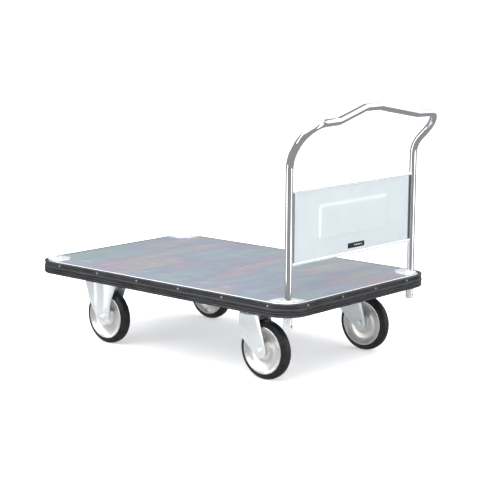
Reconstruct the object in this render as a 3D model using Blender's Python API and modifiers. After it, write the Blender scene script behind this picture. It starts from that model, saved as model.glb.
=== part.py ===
"""Steel platform cart: ribbed deck, ribbed rubber bumper, lift-out tube handle with a steel panel,
two fixed and two swivel casters. Metres, +Z up, floor at z = 0, handle end towards +X.

Left is -Y and right is +Y, as someone who stands at the handle and faces the load sees it.
"""

import math

import bmesh
import bpy
from mathutils import Matrix, Vector

GAP = 0.0003  # between faces that touch on the real cart

# Deck
DECK_LENGTH = 1.184  # steel only, along X
DECK_WIDTH = 0.762
DECK_CORNER = 0.075  # plan radius of the steel corners
CORNER_STEPS = 8  # flats in each rounded corner, the same in the steel and the rubber
DECK_SHEET = 0.002
DECK_SKIRT = 0.036  # depth of the turned-down edge
DECK_EDGE = 0.005  # rounding between top and skirt
RIB_COUNT = 10
RIB_END_MARGIN = 0.1483  # steel deck end to the middle of the first rib
RIB_SIDE_MARGIN = 0.0685  # steel deck side to the foot of a rib
RIB_WIDTH = 0.066  # at the foot
RIB_SLOPE = 0.009  # width of the sloping side
RIB_HEIGHT = 0.003

# Bumper
BUMPER_THICKNESS = 0.014
BUMPER_HEIGHT = 0.0435
BUMPER_DROP = 0.001  # deck top down to bumper top

# Under-frame
RAIL_END_MARGIN = 0.032  # steel deck end to rail end
RAIL_WIDTH = 0.120
RAIL_DEPTH = 0.044
RAIL_WALL = 0.003
POST_NOTCH_CLEARANCE = 0.002  # rail to socket
CROSS_MEMBER_WIDTH = 0.050
CROSS_MEMBER_DEPTH = 0.036
CROSS_MEMBER_FRONT_INSET = 0.087  # steel deck end to the member's middle
CROSS_MEMBER_REAR_INSET = 0.102
CROSS_MEMBER_MIDDLE_X = 0.010

# Handle. Heights are above the deck's top.
POST_INSET_X = 0.0390  # steel deck end to post axis
POST_INSET_Y = 0.0435  # steel deck side to post axis
TUBE_RADIUS = 0.0127
TUBE_WALL = 0.0016
POST_BEND_HEIGHT = 0.453  # where the posts start to lean
HANDLE_LEAN = 0.096  # post line out to the shoulders and the dips
CREST_LEAN = 0.067
SHOULDER_SPREAD = 0.0315  # post line out to the shoulder, sideways
SHOULDER_HEIGHT = 0.5675
DIP_INSET = 0.122  # post line in to the dip
DIP_HEIGHT = 0.571
CREST_HALF_WIDTH = 0.0360
CREST_HEIGHT = 0.604
BEND_RADII = {"post": 0.092, "shoulder": 0.072, "dip": 0.076, "crest": 0.040}

# Sockets that hold the posts
SOCKET_WALL = 0.0020
SOCKET_CLEARANCE = 0.0003  # radial, tube to socket
SOCKET_REACH = 0.092  # deck top down to the socket's foot
POST_FOOT_HEIGHT = 0.006  # socket's foot up to the tube's end
PIN_HOLE_HEIGHT = 0.0135  # socket's foot up to the pin hole
PIN_HOLE_RADIUS = 0.0040
COLLAR_WIDTH = 0.0055
COLLAR_HEIGHT = 0.003
COLLAR_CHAMFER = 0.001

# Corner plates on the deck
CORNER_PLATE_SIDE = 0.095
CORNER_PLATE_THICKNESS = 0.0015
CORNER_PLATE_MARGIN = 0.007  # steel deck edge to plate edge
CORNER_PLATE_CUT = 0.034  # what the inner diagonal takes off each side
CORNER_PLATE_ROUNDING = 0.012

# Panel between the posts
PANEL_BOTTOM_HEIGHT = 0.1115  # above the deck's top
PANEL_HEIGHT = 0.244
PANEL_SHEET = 0.0015
PANEL_FLANGE = 0.018  # depth of the ends, which curve away from the user
PANEL_FLANGE_BEND = 0.012
PANEL_HEM_RADIUS = 0.0050
PANEL_PAD_END_MARGIN = 0.132  # panel's end to the pad's foot
PANEL_PAD_LOW_MARGIN = 0.0585
PANEL_PAD_HIGH_MARGIN = 0.0555
PANEL_PAD_CORNER = 0.022
PANEL_PAD_RISE = 0.003
PANEL_PAD_SLOPE = 0.009
LABEL_LENGTH = 0.090
LABEL_HEIGHT = 0.017
LABEL_THICKNESS = 0.0008
LABEL_CORNER = 0.0015
LABEL_Y = 0.014
LABEL_LOW_MARGIN = 0.029  # panel's lower edge to the label's middle

# Wheels
WHEEL_RADIUS = 0.100
TYRE_DEPTH = 0.020
TREAD_HALF_WIDTH = 0.011
TREAD_CROWN = 0.0015
SHOULDER_DROP = 0.0035
RIM_HALF_WIDTH = 0.0205
RIM_LIP = 0.0035
WEB_SPAN = 0.025  # hub's outside to the thinnest part of the web
WEB_RISE_INSET = 0.009  # rim's outside to where the web turns up into it
AXLE_RADIUS = 0.0060
BUSH_WALL = 0.0032
BEARING_WALL = 0.0062
HUB_WALL = 0.0087
HUB_OVERHANG = 0.003  # hub beyond the rim, each side
BEARING_OVERHANG = 0.001  # bearing beyond the hub, each side
WHEEL_STEPS = 32  # flats round the tyre and the rim

# Casters
CASTER_INSET_Y = 0.108  # steel deck side to wheel plane
SWIVEL_AXLE_INSET = 0.1845  # steel deck end to axle, swivel at rest
FIXED_AXLE_INSET = 0.251
SWIVEL_TRAIL = 0.056  # swivel axis to axle
FORK_WALL = 0.0035
FORK_CLEARANCE = 0.003  # bearing to fork leg
CROWN_CLEARANCE = 0.0145  # tyre to the crown's underside
CROWN_OVERHANG = 0.003  # crown beyond the bearing cup
RACE_RADIUS = 0.040
RACE_BORE = 0.020
RACE_INSET = 0.003
RACE_HEIGHT = 0.007  # crown to cup
CUP_HEIGHT = 0.0151
CUP_SHOULDER = 0.006
PLATE_THICKNESS = 0.005
PLATE_CORNER = 0.010
SWIVEL_PLATE = (0.135, 0.110)
SWIVEL_EYE_RADIUS = 0.0235
SWIVEL_REAR_X = -0.0125  # the leg's rear edge at the crown, from the axle
NOSE_CLEARANCE = 0.002  # tyre's front to the nose's middle surface, along X
NOSE_SIDE_CLEARANCE = 0.0035  # rim's face to the nose's corner, along Y
NOSE_HEIGHT_DROP = 0.058  # tyre's top down to the nose's lower edge
LEG_STRAIGHT = 0.040  # how far the straight part of a leg runs either side of the axle
LEG_FOOT = 0.040  # how far a leg's blank runs below the axle
LEG_BLANK = 0.120  # half length of a fixed leg's blank
FIXED_PLATE = (0.178, 0.110)
FIXED_PLATE_OFFSET = -0.011  # plate middle from the axle
FIXED_TOP_X = (-0.097, 0.075)  # the leg's edges from the axle, at the plate
FIXED_NECK_X = (-0.070, 0.034)
FIXED_NECK_Z = 0.050  # above the axle
FIXED_EYE_RADIUS = 0.030
FIXED_BEND = 0.008
KINGPIN_RADIUS = 0.0080
KINGPIN_CLEARANCE = 0.0005
KINGPIN_HEAD_RADIUS = 0.0130
KINGPIN_HEAD_HEIGHT = 0.0075
KINGPIN_HEAD_CLEARANCE = 0.0008
BOLT_HEAD_ACROSS = 0.019
BOLT_HEAD_HEIGHT = 0.0075
BOLT_STICK_OUT = 0.004  # thread beyond the nut
CUT_PAST = 0.01  # how far a cutter runs past what it cuts

# Heights, from the floor up through the caster to the deck
CROWN_TOP = 2 * WHEEL_RADIUS + CROWN_CLEARANCE + FORK_WALL
CUP_BOTTOM = CROWN_TOP + RACE_HEIGHT
PLATE_BOTTOM = CUP_BOTTOM + CUP_HEIGHT + GAP
CASTER_TOP = PLATE_BOTTOM + PLATE_THICKNESS
RAIL_BOTTOM = CASTER_TOP + GAP
DECK_UNDERSIDE = RAIL_BOTTOM + RAIL_DEPTH + GAP
DECK_TOP = DECK_UNDERSIDE + DECK_SHEET

# Places in the deck's plan, from its middle
RIB_PITCH = (DECK_LENGTH - 2 * RIB_END_MARGIN) / (RIB_COUNT - 1)
RIB_LENGTH = DECK_WIDTH - 2 * RIB_SIDE_MARGIN
RAIL_LENGTH = DECK_LENGTH - 2 * RAIL_END_MARGIN
CROSS_MEMBER_STATIONS = {
    "front": CROSS_MEMBER_FRONT_INSET - DECK_LENGTH / 2,
    "middle": CROSS_MEMBER_MIDDLE_X,
    "rear": DECK_LENGTH / 2 - CROSS_MEMBER_REAR_INSET,
}
CASTER_Y = DECK_WIDTH / 2 - CASTER_INSET_Y
SWIVEL_AXLE_X = DECK_LENGTH / 2 - SWIVEL_AXLE_INSET
FIXED_AXLE_X = FIXED_AXLE_INSET - DECK_LENGTH / 2
HANDLE_X = DECK_LENGTH / 2 - POST_INSET_X
POST_Y = DECK_WIDTH / 2 - POST_INSET_Y
FRONT_X = -(DECK_LENGTH / 2 + GAP + BUMPER_THICKNESS)
REAR_X = HANDLE_X + HANDLE_LEAN + TUBE_RADIUS
MIDDLE_X = (FRONT_X + REAR_X) / 2  # of the whole cart, from the deck's middle

# Sockets, handle and panel
SOCKET_BORE = TUBE_RADIUS + SOCKET_CLEARANCE
SOCKET_RADIUS = SOCKET_BORE + SOCKET_WALL
COLLAR_RADIUS = SOCKET_RADIUS + COLLAR_WIDTH
SOCKET_BOTTOM = DECK_TOP - SOCKET_REACH
POST_BOTTOM = SOCKET_BOTTOM + POST_FOOT_HEIGHT
PIN_HOLE_Z = SOCKET_BOTTOM + PIN_HOLE_HEIGHT
SHOULDER = (HANDLE_LEAN, POST_Y + SHOULDER_SPREAD, DECK_TOP + SHOULDER_HEIGHT)
DIP = (HANDLE_LEAN, POST_Y - DIP_INSET, DECK_TOP + DIP_HEIGHT)
CREST = (CREST_LEAN, CREST_HALF_WIDTH, DECK_TOP + CREST_HEIGHT)
PANEL_END_Y = POST_Y - TUBE_RADIUS - GAP
PANEL_BOTTOM = DECK_TOP + PANEL_BOTTOM_HEIGHT
PANEL_TOP = PANEL_BOTTOM + PANEL_HEIGHT
PANEL_PAD_LENGTH = 2 * (PANEL_END_Y - PANEL_PAD_END_MARGIN)
PANEL_PAD_BOTTOM = PANEL_BOTTOM + PANEL_PAD_LOW_MARGIN
PANEL_PAD_TOP = PANEL_TOP - PANEL_PAD_HIGH_MARGIN

# Wheels and forks
RIM_RADIUS = WHEEL_RADIUS - TYRE_DEPTH
BUSH_RADIUS = AXLE_RADIUS + GAP + BUSH_WALL
BEARING_RADIUS = BUSH_RADIUS + GAP + BEARING_WALL
HUB_RADIUS = BEARING_RADIUS + GAP + HUB_WALL
HUB_HALF_LENGTH = RIM_HALF_WIDTH + HUB_OVERHANG
BEARING_HALF_LENGTH = HUB_HALF_LENGTH + BEARING_OVERHANG
FORK_HALF_WIDTH = BEARING_HALF_LENGTH + FORK_CLEARANCE + FORK_WALL
NOSE_HALF_WIDTH = RIM_HALF_WIDTH + NOSE_SIDE_CLEARANCE
CROWN_RADIUS = RACE_RADIUS + CROWN_OVERHANG
LEFT_RIGHT = {"left": -1, "right": 1}


# Scene and mesh helpers


def clear_scene():
    for obj in list(bpy.data.objects):
        bpy.data.objects.remove(obj, do_unlink=True)


def new_collection(name):
    collection = bpy.data.collections.new(name)
    bpy.context.scene.collection.children.link(collection)
    return collection


def material(name, colour, roughness, metallic):
    made = bpy.data.materials.new(name)
    made.use_nodes = True
    shader = made.node_tree.nodes["Principled BSDF"]
    shader.inputs["Base Color"].default_value = (*colour, 1.0)
    shader.inputs["Roughness"].default_value = roughness
    shader.inputs["Metallic"].default_value = metallic
    return made


def mesh_from(bm, name):
    bmesh.ops.remove_doubles(bm, verts=bm.verts, dist=1e-6)
    bmesh.ops.recalc_face_normals(bm, faces=bm.faces)
    mesh = bpy.data.meshes.new(name)
    bm.to_mesh(mesh)
    bm.free()
    return mesh


def evaluated_mesh(obj):
    """The object's mesh as its modifiers or its curve make it, closed and facing out; the object goes."""
    graph = bpy.context.evaluated_depsgraph_get()
    mesh = bpy.data.meshes.new_from_object(obj.evaluated_get(graph))
    bpy.data.objects.remove(obj, do_unlink=True)
    bm = bmesh.new()
    bm.from_mesh(mesh)
    bpy.data.meshes.remove(mesh)
    return mesh_from(bm, "shape")


def curve_mesh(splines, dimensions="3D", cyclic=False, **settings):
    """The mesh of a curve made of straight-sided splines, with its caps welded on."""
    curve = bpy.data.curves.new("outline", "CURVE")
    curve.dimensions = dimensions
    for points in splines:
        spline = curve.splines.new("POLY")
        spline.points.add(len(points) - 1)
        for point, place in zip(spline.points, points):
            point.co = (*place, 0.0, 1.0) if len(place) == 2 else (*place, 1.0)
        spline.use_cyclic_u = cyclic
    for setting, value in settings.items():
        setattr(curve, setting, value)
    obj = bpy.data.objects.new("outline", curve)
    bpy.context.scene.collection.objects.link(obj)
    return evaluated_mesh(obj)


def flat_plate(outlines, low, high):
    """A plate between two heights. The first outline is its edge and the others are holes."""
    mesh = curve_mesh(
        outlines, "2D", cyclic=True, fill_mode="BOTH", extrude=(high - low) / 2
    )
    mesh.transform(Matrix.Translation((0, 0, (low + high) / 2)))
    return mesh


def arc(centre, radius, start, end, steps):
    """Points on an arc, angles in degrees, both ends included."""
    angles = [math.radians(start + (end - start) * i / steps) for i in range(steps + 1)]
    return [(centre[0] + radius * math.cos(a), centre[1] + radius * math.sin(a)) for a in angles]


def circle(radius, steps=24, centre=(0, 0)):
    """Points on a circle. The start is turned so that they miss the edges of the shapes it cuts."""
    return arc(centre, radius, 4, 364, steps)[:-1]


def cylinder(radius, low, high, steps=24, centre=(0, 0)):
    """A closed cylinder about Z, turned a little so that it misses the edges of the shapes it cuts."""
    bm = bmesh.new()
    placed = Matrix.Translation((*centre, (low + high) / 2)) @ Matrix.Rotation(math.radians(4), 4, "Z")
    bmesh.ops.create_cone(
        bm,
        cap_ends=True,
        segments=steps,
        radius1=radius,
        radius2=radius,
        depth=high - low,
        matrix=placed,
    )
    return mesh_from(bm, "cylinder")


def rounded_rectangle(length, width, radius, steps=6, centre=(0, 0)):
    points = []
    for quarter, (sx, sy) in enumerate([(1, 1), (-1, 1), (-1, -1), (1, -1)]):
        middle = (centre[0] + sx * (length / 2 - radius), centre[1] + sy * (width / 2 - radius))
        points += arc(middle, radius, 90 * quarter, 90 * quarter + 90, steps)
    return points


def filleted(corners, radii, steps=6):
    """A path through the corners, in two or three dimensions, with each corner rounded to its radius."""
    corners = [Vector(corner) for corner in corners]
    path = [corners[0]]
    for before, corner, after, radius in zip(corners, corners[1:], corners[2:], radii):
        back = (before - corner).normalized()
        ahead = (after - corner).normalized()
        half_angle = back.angle(ahead) / 2
        bisector = (back + ahead).normalized()
        centre = corner + bisector * radius / math.sin(half_angle)
        start = (corner + back * radius / math.tan(half_angle) - centre).normalized()
        end = (corner + ahead * radius / math.tan(half_angle) - centre).normalized()
        path += [centre + start.slerp(end, i / steps) * radius for i in range(steps + 1)]
    path.append(corners[-1])
    return [tuple(point) for point in path]


def turned(profile, steps, closed=True):
    """A ring about Z from a closed loop of (radius, height) points, or a solid from an open one."""
    mesh = bpy.data.meshes.new("profile")
    count = len(profile)
    edges = [(i, (i + 1) % count) for i in range(count if closed else count - 1)]
    mesh.from_pydata([(radius, 0, height) for radius, height in profile], edges, [])
    obj = bpy.data.objects.new("profile", mesh)
    bpy.context.scene.collection.objects.link(obj)
    screw = obj.modifiers.new("Turn", "SCREW")
    screw.steps = screw.render_steps = steps
    screw.use_merge_vertices = True
    screw.merge_threshold = 1e-6
    made = evaluated_mesh(obj)
    bpy.data.meshes.remove(mesh)
    return made


def sleeve(inner, outer, low, high, steps=24):
    return turned([(outer, high), (outer, low), (inner, low), (inner, high)], steps)


def wall(path, low, high):
    """An open upright surface that stands on a path, for Solidify."""
    bm = bmesh.new()
    corners = [bm.verts.new((x, y, high)) for x, y in path]
    edges = [bm.edges.new(pair) for pair in zip(corners, corners[1:])]
    made = bmesh.ops.extrude_edge_only(bm, edges=edges)["geom"]
    for vert in (item for item in made if isinstance(item, bmesh.types.BMVert)):
        vert.co.z = low
    return bm


def raised_pad(outline, slope, foot, top):
    """A pad whose sides slope in from its foot outline, as a pressed rib or emboss has."""
    bm = bmesh.new()
    base = bm.faces.new([bm.verts.new((x, y, foot)) for x, y in outline])
    bmesh.ops.recalc_face_normals(bm, faces=[base])
    lid = bmesh.ops.extrude_face_region(bm, geom=[base])["geom"]
    lid_verts = [item for item in lid if isinstance(item, bmesh.types.BMVert)]
    xs = [x for x, _ in outline]
    ys = [y for _, y in outline]
    middle = Vector(((min(xs) + max(xs)) / 2, (min(ys) + max(ys)) / 2, 0))
    half = Vector(((max(xs) - min(xs)) / 2, (max(ys) - min(ys)) / 2, 0))
    for vert in lid_verts:
        offset = vert.co - middle
        vert.co.x = middle.x + offset.x * (half.x - slope) / half.x
        vert.co.y = middle.y + offset.y * (half.y - slope) / half.y
        vert.co.z = top
    return mesh_from(bm, "pad")


def axis_to(direction):
    """The rotation that takes +Z to a direction along X or Y."""
    return Vector((0, 0, 1)).rotation_difference(Vector(direction)).to_matrix().to_4x4()


def turned_to(mesh, direction, place=(0, 0, 0)):
    mesh.transform(Matrix.Translation(place) @ axis_to(direction))
    return mesh


def joined_meshes(meshes, name):
    bm = bmesh.new()
    for mesh in meshes:
        bm.from_mesh(mesh)
    return mesh_from(bm, name)


def empty(name, parent=None, place=(0, 0, 0)):
    obj = bpy.data.objects.new(name, None)
    obj.location = place
    obj.parent = parent
    PARTS.objects.link(obj)
    return obj


def part(name, mesh, look, parent, place=(0, 0, 0)):
    """One piece of the cart, shaded smooth except at its corners."""
    mesh.name = name
    mesh.materials.clear()
    mesh.materials.append(look)
    mesh.shade_smooth()
    mesh.set_sharp_from_angle(angle=math.radians(35))
    obj = bpy.data.objects.new(name, mesh)
    obj.location = place
    obj.parent = parent
    PARTS.objects.link(obj)
    return obj


def combine(obj, mesh, operation):
    """Joins a shape to a part, or cuts it away. The shape is in the part's own coordinates."""
    tool = bpy.data.objects.new(f"{obj.name}.tool.{len(obj.modifiers)}", mesh)
    tool.parent = obj
    tool.hide_render = True
    tool.display_type = "WIRE"
    CUTTERS.objects.link(tool)
    boolean = obj.modifiers.new(operation.title(), "BOOLEAN")
    boolean.operation = operation
    boolean.object = tool


def solidify(obj, thickness, offset):
    shell = obj.modifiers.new("Wall", "SOLIDIFY")
    shell.thickness = thickness
    shell.offset = offset
    shell.use_even_offset = True


def looks():
    return {
        "deck": material("zinc_plated_deck", (0.52, 0.56, 0.61), 0.36, 0.85),
        "zinc": material("zinc_plated_steel", (0.66, 0.70, 0.73), 0.32, 0.85),
        "frame": material("black_frame_paint", (0.05, 0.05, 0.055), 0.55, 0.0),
        "chrome": material("chrome_tube", (0.80, 0.81, 0.82), 0.10, 1.0),
        "panel": material("silver_panel_paint", (0.62, 0.66, 0.70), 0.38, 0.1),
        "label": material("black_label", (0.01, 0.01, 0.01), 0.35, 0.0),
        "bumper": material("black_bumper_rubber", (0.035, 0.035, 0.04), 0.50, 0.0),
        "tyre": material("black_tyre_rubber", (0.02, 0.02, 0.022), 0.55, 0.0),
        "rim": material("bright_rim_steel", (0.78, 0.78, 0.77), 0.20, 0.95),
        "bearing": material("bearing_steel", (0.45, 0.46, 0.48), 0.30, 1.0),
    }


# Deck


def make_deck(cart):
    outline = rounded_rectangle(DECK_LENGTH, DECK_WIDTH, DECK_CORNER, CORNER_STEPS)
    bm = wall([*outline, outline[0]], DECK_TOP - DECK_SKIRT, DECK_TOP)
    bmesh.ops.remove_doubles(bm, verts=bm.verts, dist=1e-6)
    rim = [e for e in bm.edges if all(abs(v.co.z - DECK_TOP) < 1e-6 for v in e.verts)]
    bmesh.ops.contextual_create(bm, geom=rim)
    bmesh.ops.recalc_face_normals(bm, faces=bm.faces)
    bmesh.ops.bevel(bm, geom=rim, offset=DECK_EDGE, segments=2, profile=0.5, affect="EDGES")
    top = max(bm.faces, key=lambda face: face.calc_area())
    if top.normal.z < 0:
        bmesh.ops.reverse_faces(bm, faces=bm.faces)
    mesh = bpy.data.meshes.new("deck")
    bm.to_mesh(mesh)
    bm.free()
    deck = part("deck_plate", mesh, LOOKS["deck"], cart)
    solidify(deck, DECK_SHEET, -1.0)
    ribs = []
    for index in range(RIB_COUNT):
        x = (index - (RIB_COUNT - 1) / 2) * RIB_PITCH
        foot = rounded_rectangle(RIB_WIDTH, RIB_LENGTH, RIB_WIDTH / 2 - 0.001, 4, (x, 0))
        ribs.append(raised_pad(foot, RIB_SLOPE, DECK_TOP - DECK_SHEET / 2, DECK_TOP + RIB_HEIGHT))
    combine(deck, joined_meshes(ribs, "ribs"), "UNION")
    for side in LEFT_RIGHT.values():
        place = (HANDLE_X, side * POST_Y)
        hole = cylinder(SOCKET_RADIUS + GAP, DECK_UNDERSIDE - CUT_PAST, DECK_TOP + CUT_PAST, 24, place)
        combine(deck, hole, "DIFFERENCE")


def bumper_profile():
    """Outline of the strip, from its back at 0 outwards and from its foot up: ribs, grooves and a lip."""
    out, up = BUMPER_THICKNESS, BUMPER_HEIGHT
    foot_rib = [(out - 0.0020, 0), (out - 0.0004, 0.0020), (out - 0.0004, 0.0065)]
    low_groove = [(out - 0.0030, 0.0085)]
    low_rib = [(out - 0.0008, 0.0105), (out - 0.0008, 0.0145)]
    middle_groove = [(out - 0.0030, 0.0165)]
    middle_rib = [(out, 0.0190), (out, 0.0250)]
    band = [(out - 0.0030, 0.0275), (out - 0.0030, up - 0.0050)]
    lip = [(out - 0.0004, up - 0.0035), (out - 0.0008, up - 0.0008), (out - 0.0030, up)]
    return [(0, 0), *foot_rib, *low_groove, *low_rib, *middle_groove, *middle_rib, *band, *lip, (0, up)]


def make_bumper(cart):
    """The profile swept once round the deck, as a ring with no ends."""
    section = bpy.data.curves.new("bumper_section", "CURVE")
    section.dimensions = "2D"
    points = section.splines.new("POLY")
    profile = bumper_profile()
    points.points.add(len(profile) - 1)
    for point, (out, up) in zip(points.points, profile):
        point.co = (out, up, 0, 1)
    points.use_cyclic_u = True
    section_object = bpy.data.objects.new("bumper_section", section)
    out = GAP
    ring = rounded_rectangle(
        DECK_LENGTH + 2 * out, DECK_WIDTH + 2 * out, DECK_CORNER + out, CORNER_STEPS
    )
    bottom = DECK_TOP - BUMPER_DROP - BUMPER_HEIGHT
    mesh = curve_mesh(
        [[(x, y, bottom) for x, y in ring]],
        cyclic=True,
        bevel_mode="OBJECT",
        bevel_object=section_object,
        twist_mode="Z_UP",
    )
    bpy.data.objects.remove(section_object, do_unlink=True)
    part("bumper", mesh, LOOKS["bumper"], cart)


def channel(length, width, depth):
    """The middle surface of a channel along X, open upwards, whose underside is at z = 0."""
    half, floor = (width - RAIL_WALL) / 2, RAIL_WALL / 2
    bm = wall([(-half, depth), (-half, floor), (half, floor), (half, depth)], 0, length)
    bmesh.ops.transform(
        bm,
        verts=bm.verts,
        matrix=Matrix(((0, 0, 1, -length / 2), (1, 0, 0, 0), (0, 1, 0, 0), (0, 0, 0, 1))),
    )
    mesh = bpy.data.meshes.new("channel")
    bm.to_mesh(mesh)
    bm.free()
    return mesh


def make_under_frame(cart):
    for side, sign in LEFT_RIGHT.items():
        mesh = channel(RAIL_LENGTH, RAIL_WIDTH, RAIL_DEPTH)
        rail = part(f"rail_{side}", mesh, LOOKS["frame"], cart, (0, sign * CASTER_Y, RAIL_BOTTOM))
        solidify(rail, RAIL_WALL, 0.0)
        place = (HANDLE_X, sign * (POST_Y - CASTER_Y))
        notch = cylinder(SOCKET_RADIUS + POST_NOTCH_CLEARANCE, -CUT_PAST, RAIL_DEPTH + CUT_PAST, 24, place)
        combine(rail, notch, "DIFFERENCE")
    span = 2 * (CASTER_Y - RAIL_WIDTH / 2 - GAP)
    for station, x in CROSS_MEMBER_STATIONS.items():
        mesh = channel(span, CROSS_MEMBER_WIDTH, CROSS_MEMBER_DEPTH)
        mesh.transform(Matrix.Rotation(math.radians(90), 4, "Z"))
        place = (x, 0, DECK_UNDERSIDE - GAP - CROSS_MEMBER_DEPTH)
        member = part(f"cross_member_{station}", mesh, LOOKS["frame"], cart, place)
        solidify(member, RAIL_WALL, 0.0)


def corner_plate_outline():
    """The plate's edge, with the deck's corner at the origin and the deck towards -X and -Y."""
    edge, far, cut = CORNER_PLATE_MARGIN, CORNER_PLATE_SIDE, CORNER_PLATE_CUT
    radius = DECK_CORNER - edge
    corner = arc((-edge - radius, -edge - radius), radius, 0, 90, 6)
    inner = [(-far, -edge), (-far, -far + cut), (-far + cut, -far), (-edge, -far)]
    return corner + filleted(inner, (CORNER_PLATE_ROUNDING, CORNER_PLATE_ROUNDING), 4)


def make_corner_plates(cart):
    low = DECK_TOP + GAP
    for end, toward in {"front": -1, "rear": 1}.items():
        for side, sign in LEFT_RIGHT.items():
            outlines = [corner_plate_outline()]
            if end == "rear":
                hole = circle(SOCKET_RADIUS + GAP, 24, (-POST_INSET_X, -POST_INSET_Y))
                outlines.append(hole)
            mesh = flat_plate(outlines, 0, CORNER_PLATE_THICKNESS)
            mesh.transform(Matrix.Diagonal((toward, sign, 1, 1)))
            if toward * sign < 0:
                mesh.flip_normals()
            place = (toward * DECK_LENGTH / 2, sign * DECK_WIDTH / 2, low)
            part(f"corner_plate_{end}_{side}", mesh, LOOKS["zinc"], cart, place)


def make_sockets(cart):
    collar_low = DECK_TOP + GAP + CORNER_PLATE_THICKNESS + GAP
    collar_high = collar_low + COLLAR_HEIGHT
    profile = [
        (SOCKET_BORE, collar_high),
        (COLLAR_RADIUS - COLLAR_CHAMFER, collar_high),
        (COLLAR_RADIUS, collar_high - COLLAR_CHAMFER),
        (COLLAR_RADIUS, collar_low),
        (SOCKET_RADIUS, collar_low),
        (SOCKET_RADIUS, SOCKET_BOTTOM),
        (SOCKET_BORE, SOCKET_BOTTOM),
    ]
    for side, sign in LEFT_RIGHT.items():
        place = (HANDLE_X, sign * POST_Y, 0)
        socket = part(f"post_socket_{side}", turned(profile, 24), LOOKS["zinc"], cart, place)
        combine(socket, pin_hole(), "DIFFERENCE")


def pin_hole():
    """The hole along X for the locking pin, through both walls."""
    reach = COLLAR_RADIUS + CUT_PAST
    return turned_to(cylinder(PIN_HOLE_RADIUS, -reach, reach, 12), (1, 0, 0), (0, 0, PIN_HOLE_Z))


# Handle


def handle_path():
    """Centre line from the foot of the left post over to the foot of the right post."""

    def mirrored(point, sign):
        return (point[0], sign * point[1], point[2])

    post_foot = (0, POST_Y, POST_BOTTOM)
    bend = (0, POST_Y, DECK_TOP + POST_BEND_HEIGHT)
    half = [post_foot, bend, SHOULDER, DIP, CREST]
    corners = [mirrored(p, -1) for p in half] + [mirrored(p, 1) for p in reversed(half)]
    radii = [BEND_RADII[name] for name in ("post", "shoulder", "dip", "crest")]
    return filleted(corners, radii + radii[::-1], 5)


def make_handle(cart):
    handle = empty("handle_seat", cart, (HANDLE_X, 0, 0))
    tube = curve_mesh([handle_path()], bevel_depth=TUBE_RADIUS, bevel_resolution=3, use_fill_caps=False)
    tube = part("handle_tube", tube, LOOKS["chrome"], handle)
    solidify(tube, TUBE_WALL, -1.0)
    for sign in LEFT_RIGHT.values():
        hole = pin_hole()
        hole.transform(Matrix.Translation((0, sign * POST_Y, 0)))
        combine(tube, hole, "DIFFERENCE")
    make_panel(handle)


def make_panel(handle):
    """A sheet with rolled upper and lower edges and ends curved away from the user, with a pressed pad."""
    middle = PANEL_SHEET / 2
    half = PANEL_END_Y - middle
    back = middle - PANEL_FLANGE
    path = [(back, -half), (middle, -half), (middle, half), (back, half)]
    path = filleted(path, (PANEL_FLANGE_BEND, PANEL_FLANGE_BEND), 5)
    roll = PANEL_HEM_RADIUS
    bm = wall(path, PANEL_BOTTOM + roll, PANEL_TOP - roll)
    mesh = bpy.data.meshes.new("panel")
    bm.to_mesh(mesh)
    bm.free()
    panel = part("handle_panel", mesh, LOOKS["panel"], handle)
    solidify(panel, PANEL_SHEET, 0.0)
    for z in (PANEL_TOP - roll, PANEL_BOTTOM + roll):
        hem = curve_mesh(
            [[(middle, -half, z), (middle, half, z)]],
            bevel_depth=roll,
            bevel_resolution=3,
            use_fill_caps=True,
        )
        combine(panel, hem, "UNION")
    foot = rounded_rectangle(PANEL_PAD_TOP - PANEL_PAD_BOTTOM, PANEL_PAD_LENGTH, PANEL_PAD_CORNER, 5)
    pad = raised_pad(foot, PANEL_PAD_SLOPE, PANEL_SHEET / 2, PANEL_SHEET + PANEL_PAD_RISE)
    pad_z = (PANEL_PAD_TOP + PANEL_PAD_BOTTOM) / 2
    to_panel = Matrix(((0, 0, 1, 0), (0, 1, 0, 0), (-1, 0, 0, pad_z), (0, 0, 0, 1)))
    pad.transform(to_panel)
    combine(panel, pad, "UNION")
    label = flat_plate([rounded_rectangle(LABEL_HEIGHT, LABEL_LENGTH, LABEL_CORNER, 3)], 0, LABEL_THICKNESS)
    label.transform(Matrix(((0, 0, 1, 0), (0, 1, 0, 0), (-1, 0, 0, 0), (0, 0, 0, 1))))
    place = (PANEL_SHEET + GAP, LABEL_Y, PANEL_BOTTOM + LABEL_LOW_MARGIN)
    part("panel_label", label, LOOKS["label"], handle, place)


# Wheels and casters


def tyre_profile():
    crown, tread = WHEEL_RADIUS, TREAD_HALF_WIDTH
    shoulder = (crown - SHOULDER_DROP, tread + 0.002)
    sidewall = (RIM_RADIUS + 0.005, RIM_HALF_WIDTH + 0.0008)
    inner = RIM_RADIUS + GAP
    half = [(crown - TREAD_CROWN, tread), shoulder, sidewall, (inner, RIM_HALF_WIDTH)]
    return [(crown, 0), *half, *[(radius, -height) for radius, height in reversed(half)]]


def rim_profile():
    """Hub, dished web and rim. A groove round the outside leaves the rim as hollow as the pressed one."""
    bore = BEARING_RADIUS + GAP
    half = [
        (bore, HUB_HALF_LENGTH),
        (HUB_RADIUS, HUB_HALF_LENGTH),
        (HUB_RADIUS + 0.003, 0.008),
        (HUB_RADIUS + WEB_SPAN, 0.0060),
        (RIM_RADIUS - WEB_RISE_INSET, RIM_HALF_WIDTH - 0.008),
        (RIM_RADIUS - RIM_LIP, RIM_HALF_WIDTH),
        (RIM_RADIUS, RIM_HALF_WIDTH),
        (RIM_RADIUS, RIM_HALF_WIDTH - 0.0045),
        (RIM_RADIUS - WEB_RISE_INSET - 0.001, 0.0050),
    ]
    return half + [(radius, -height) for radius, height in reversed(half)]


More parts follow.
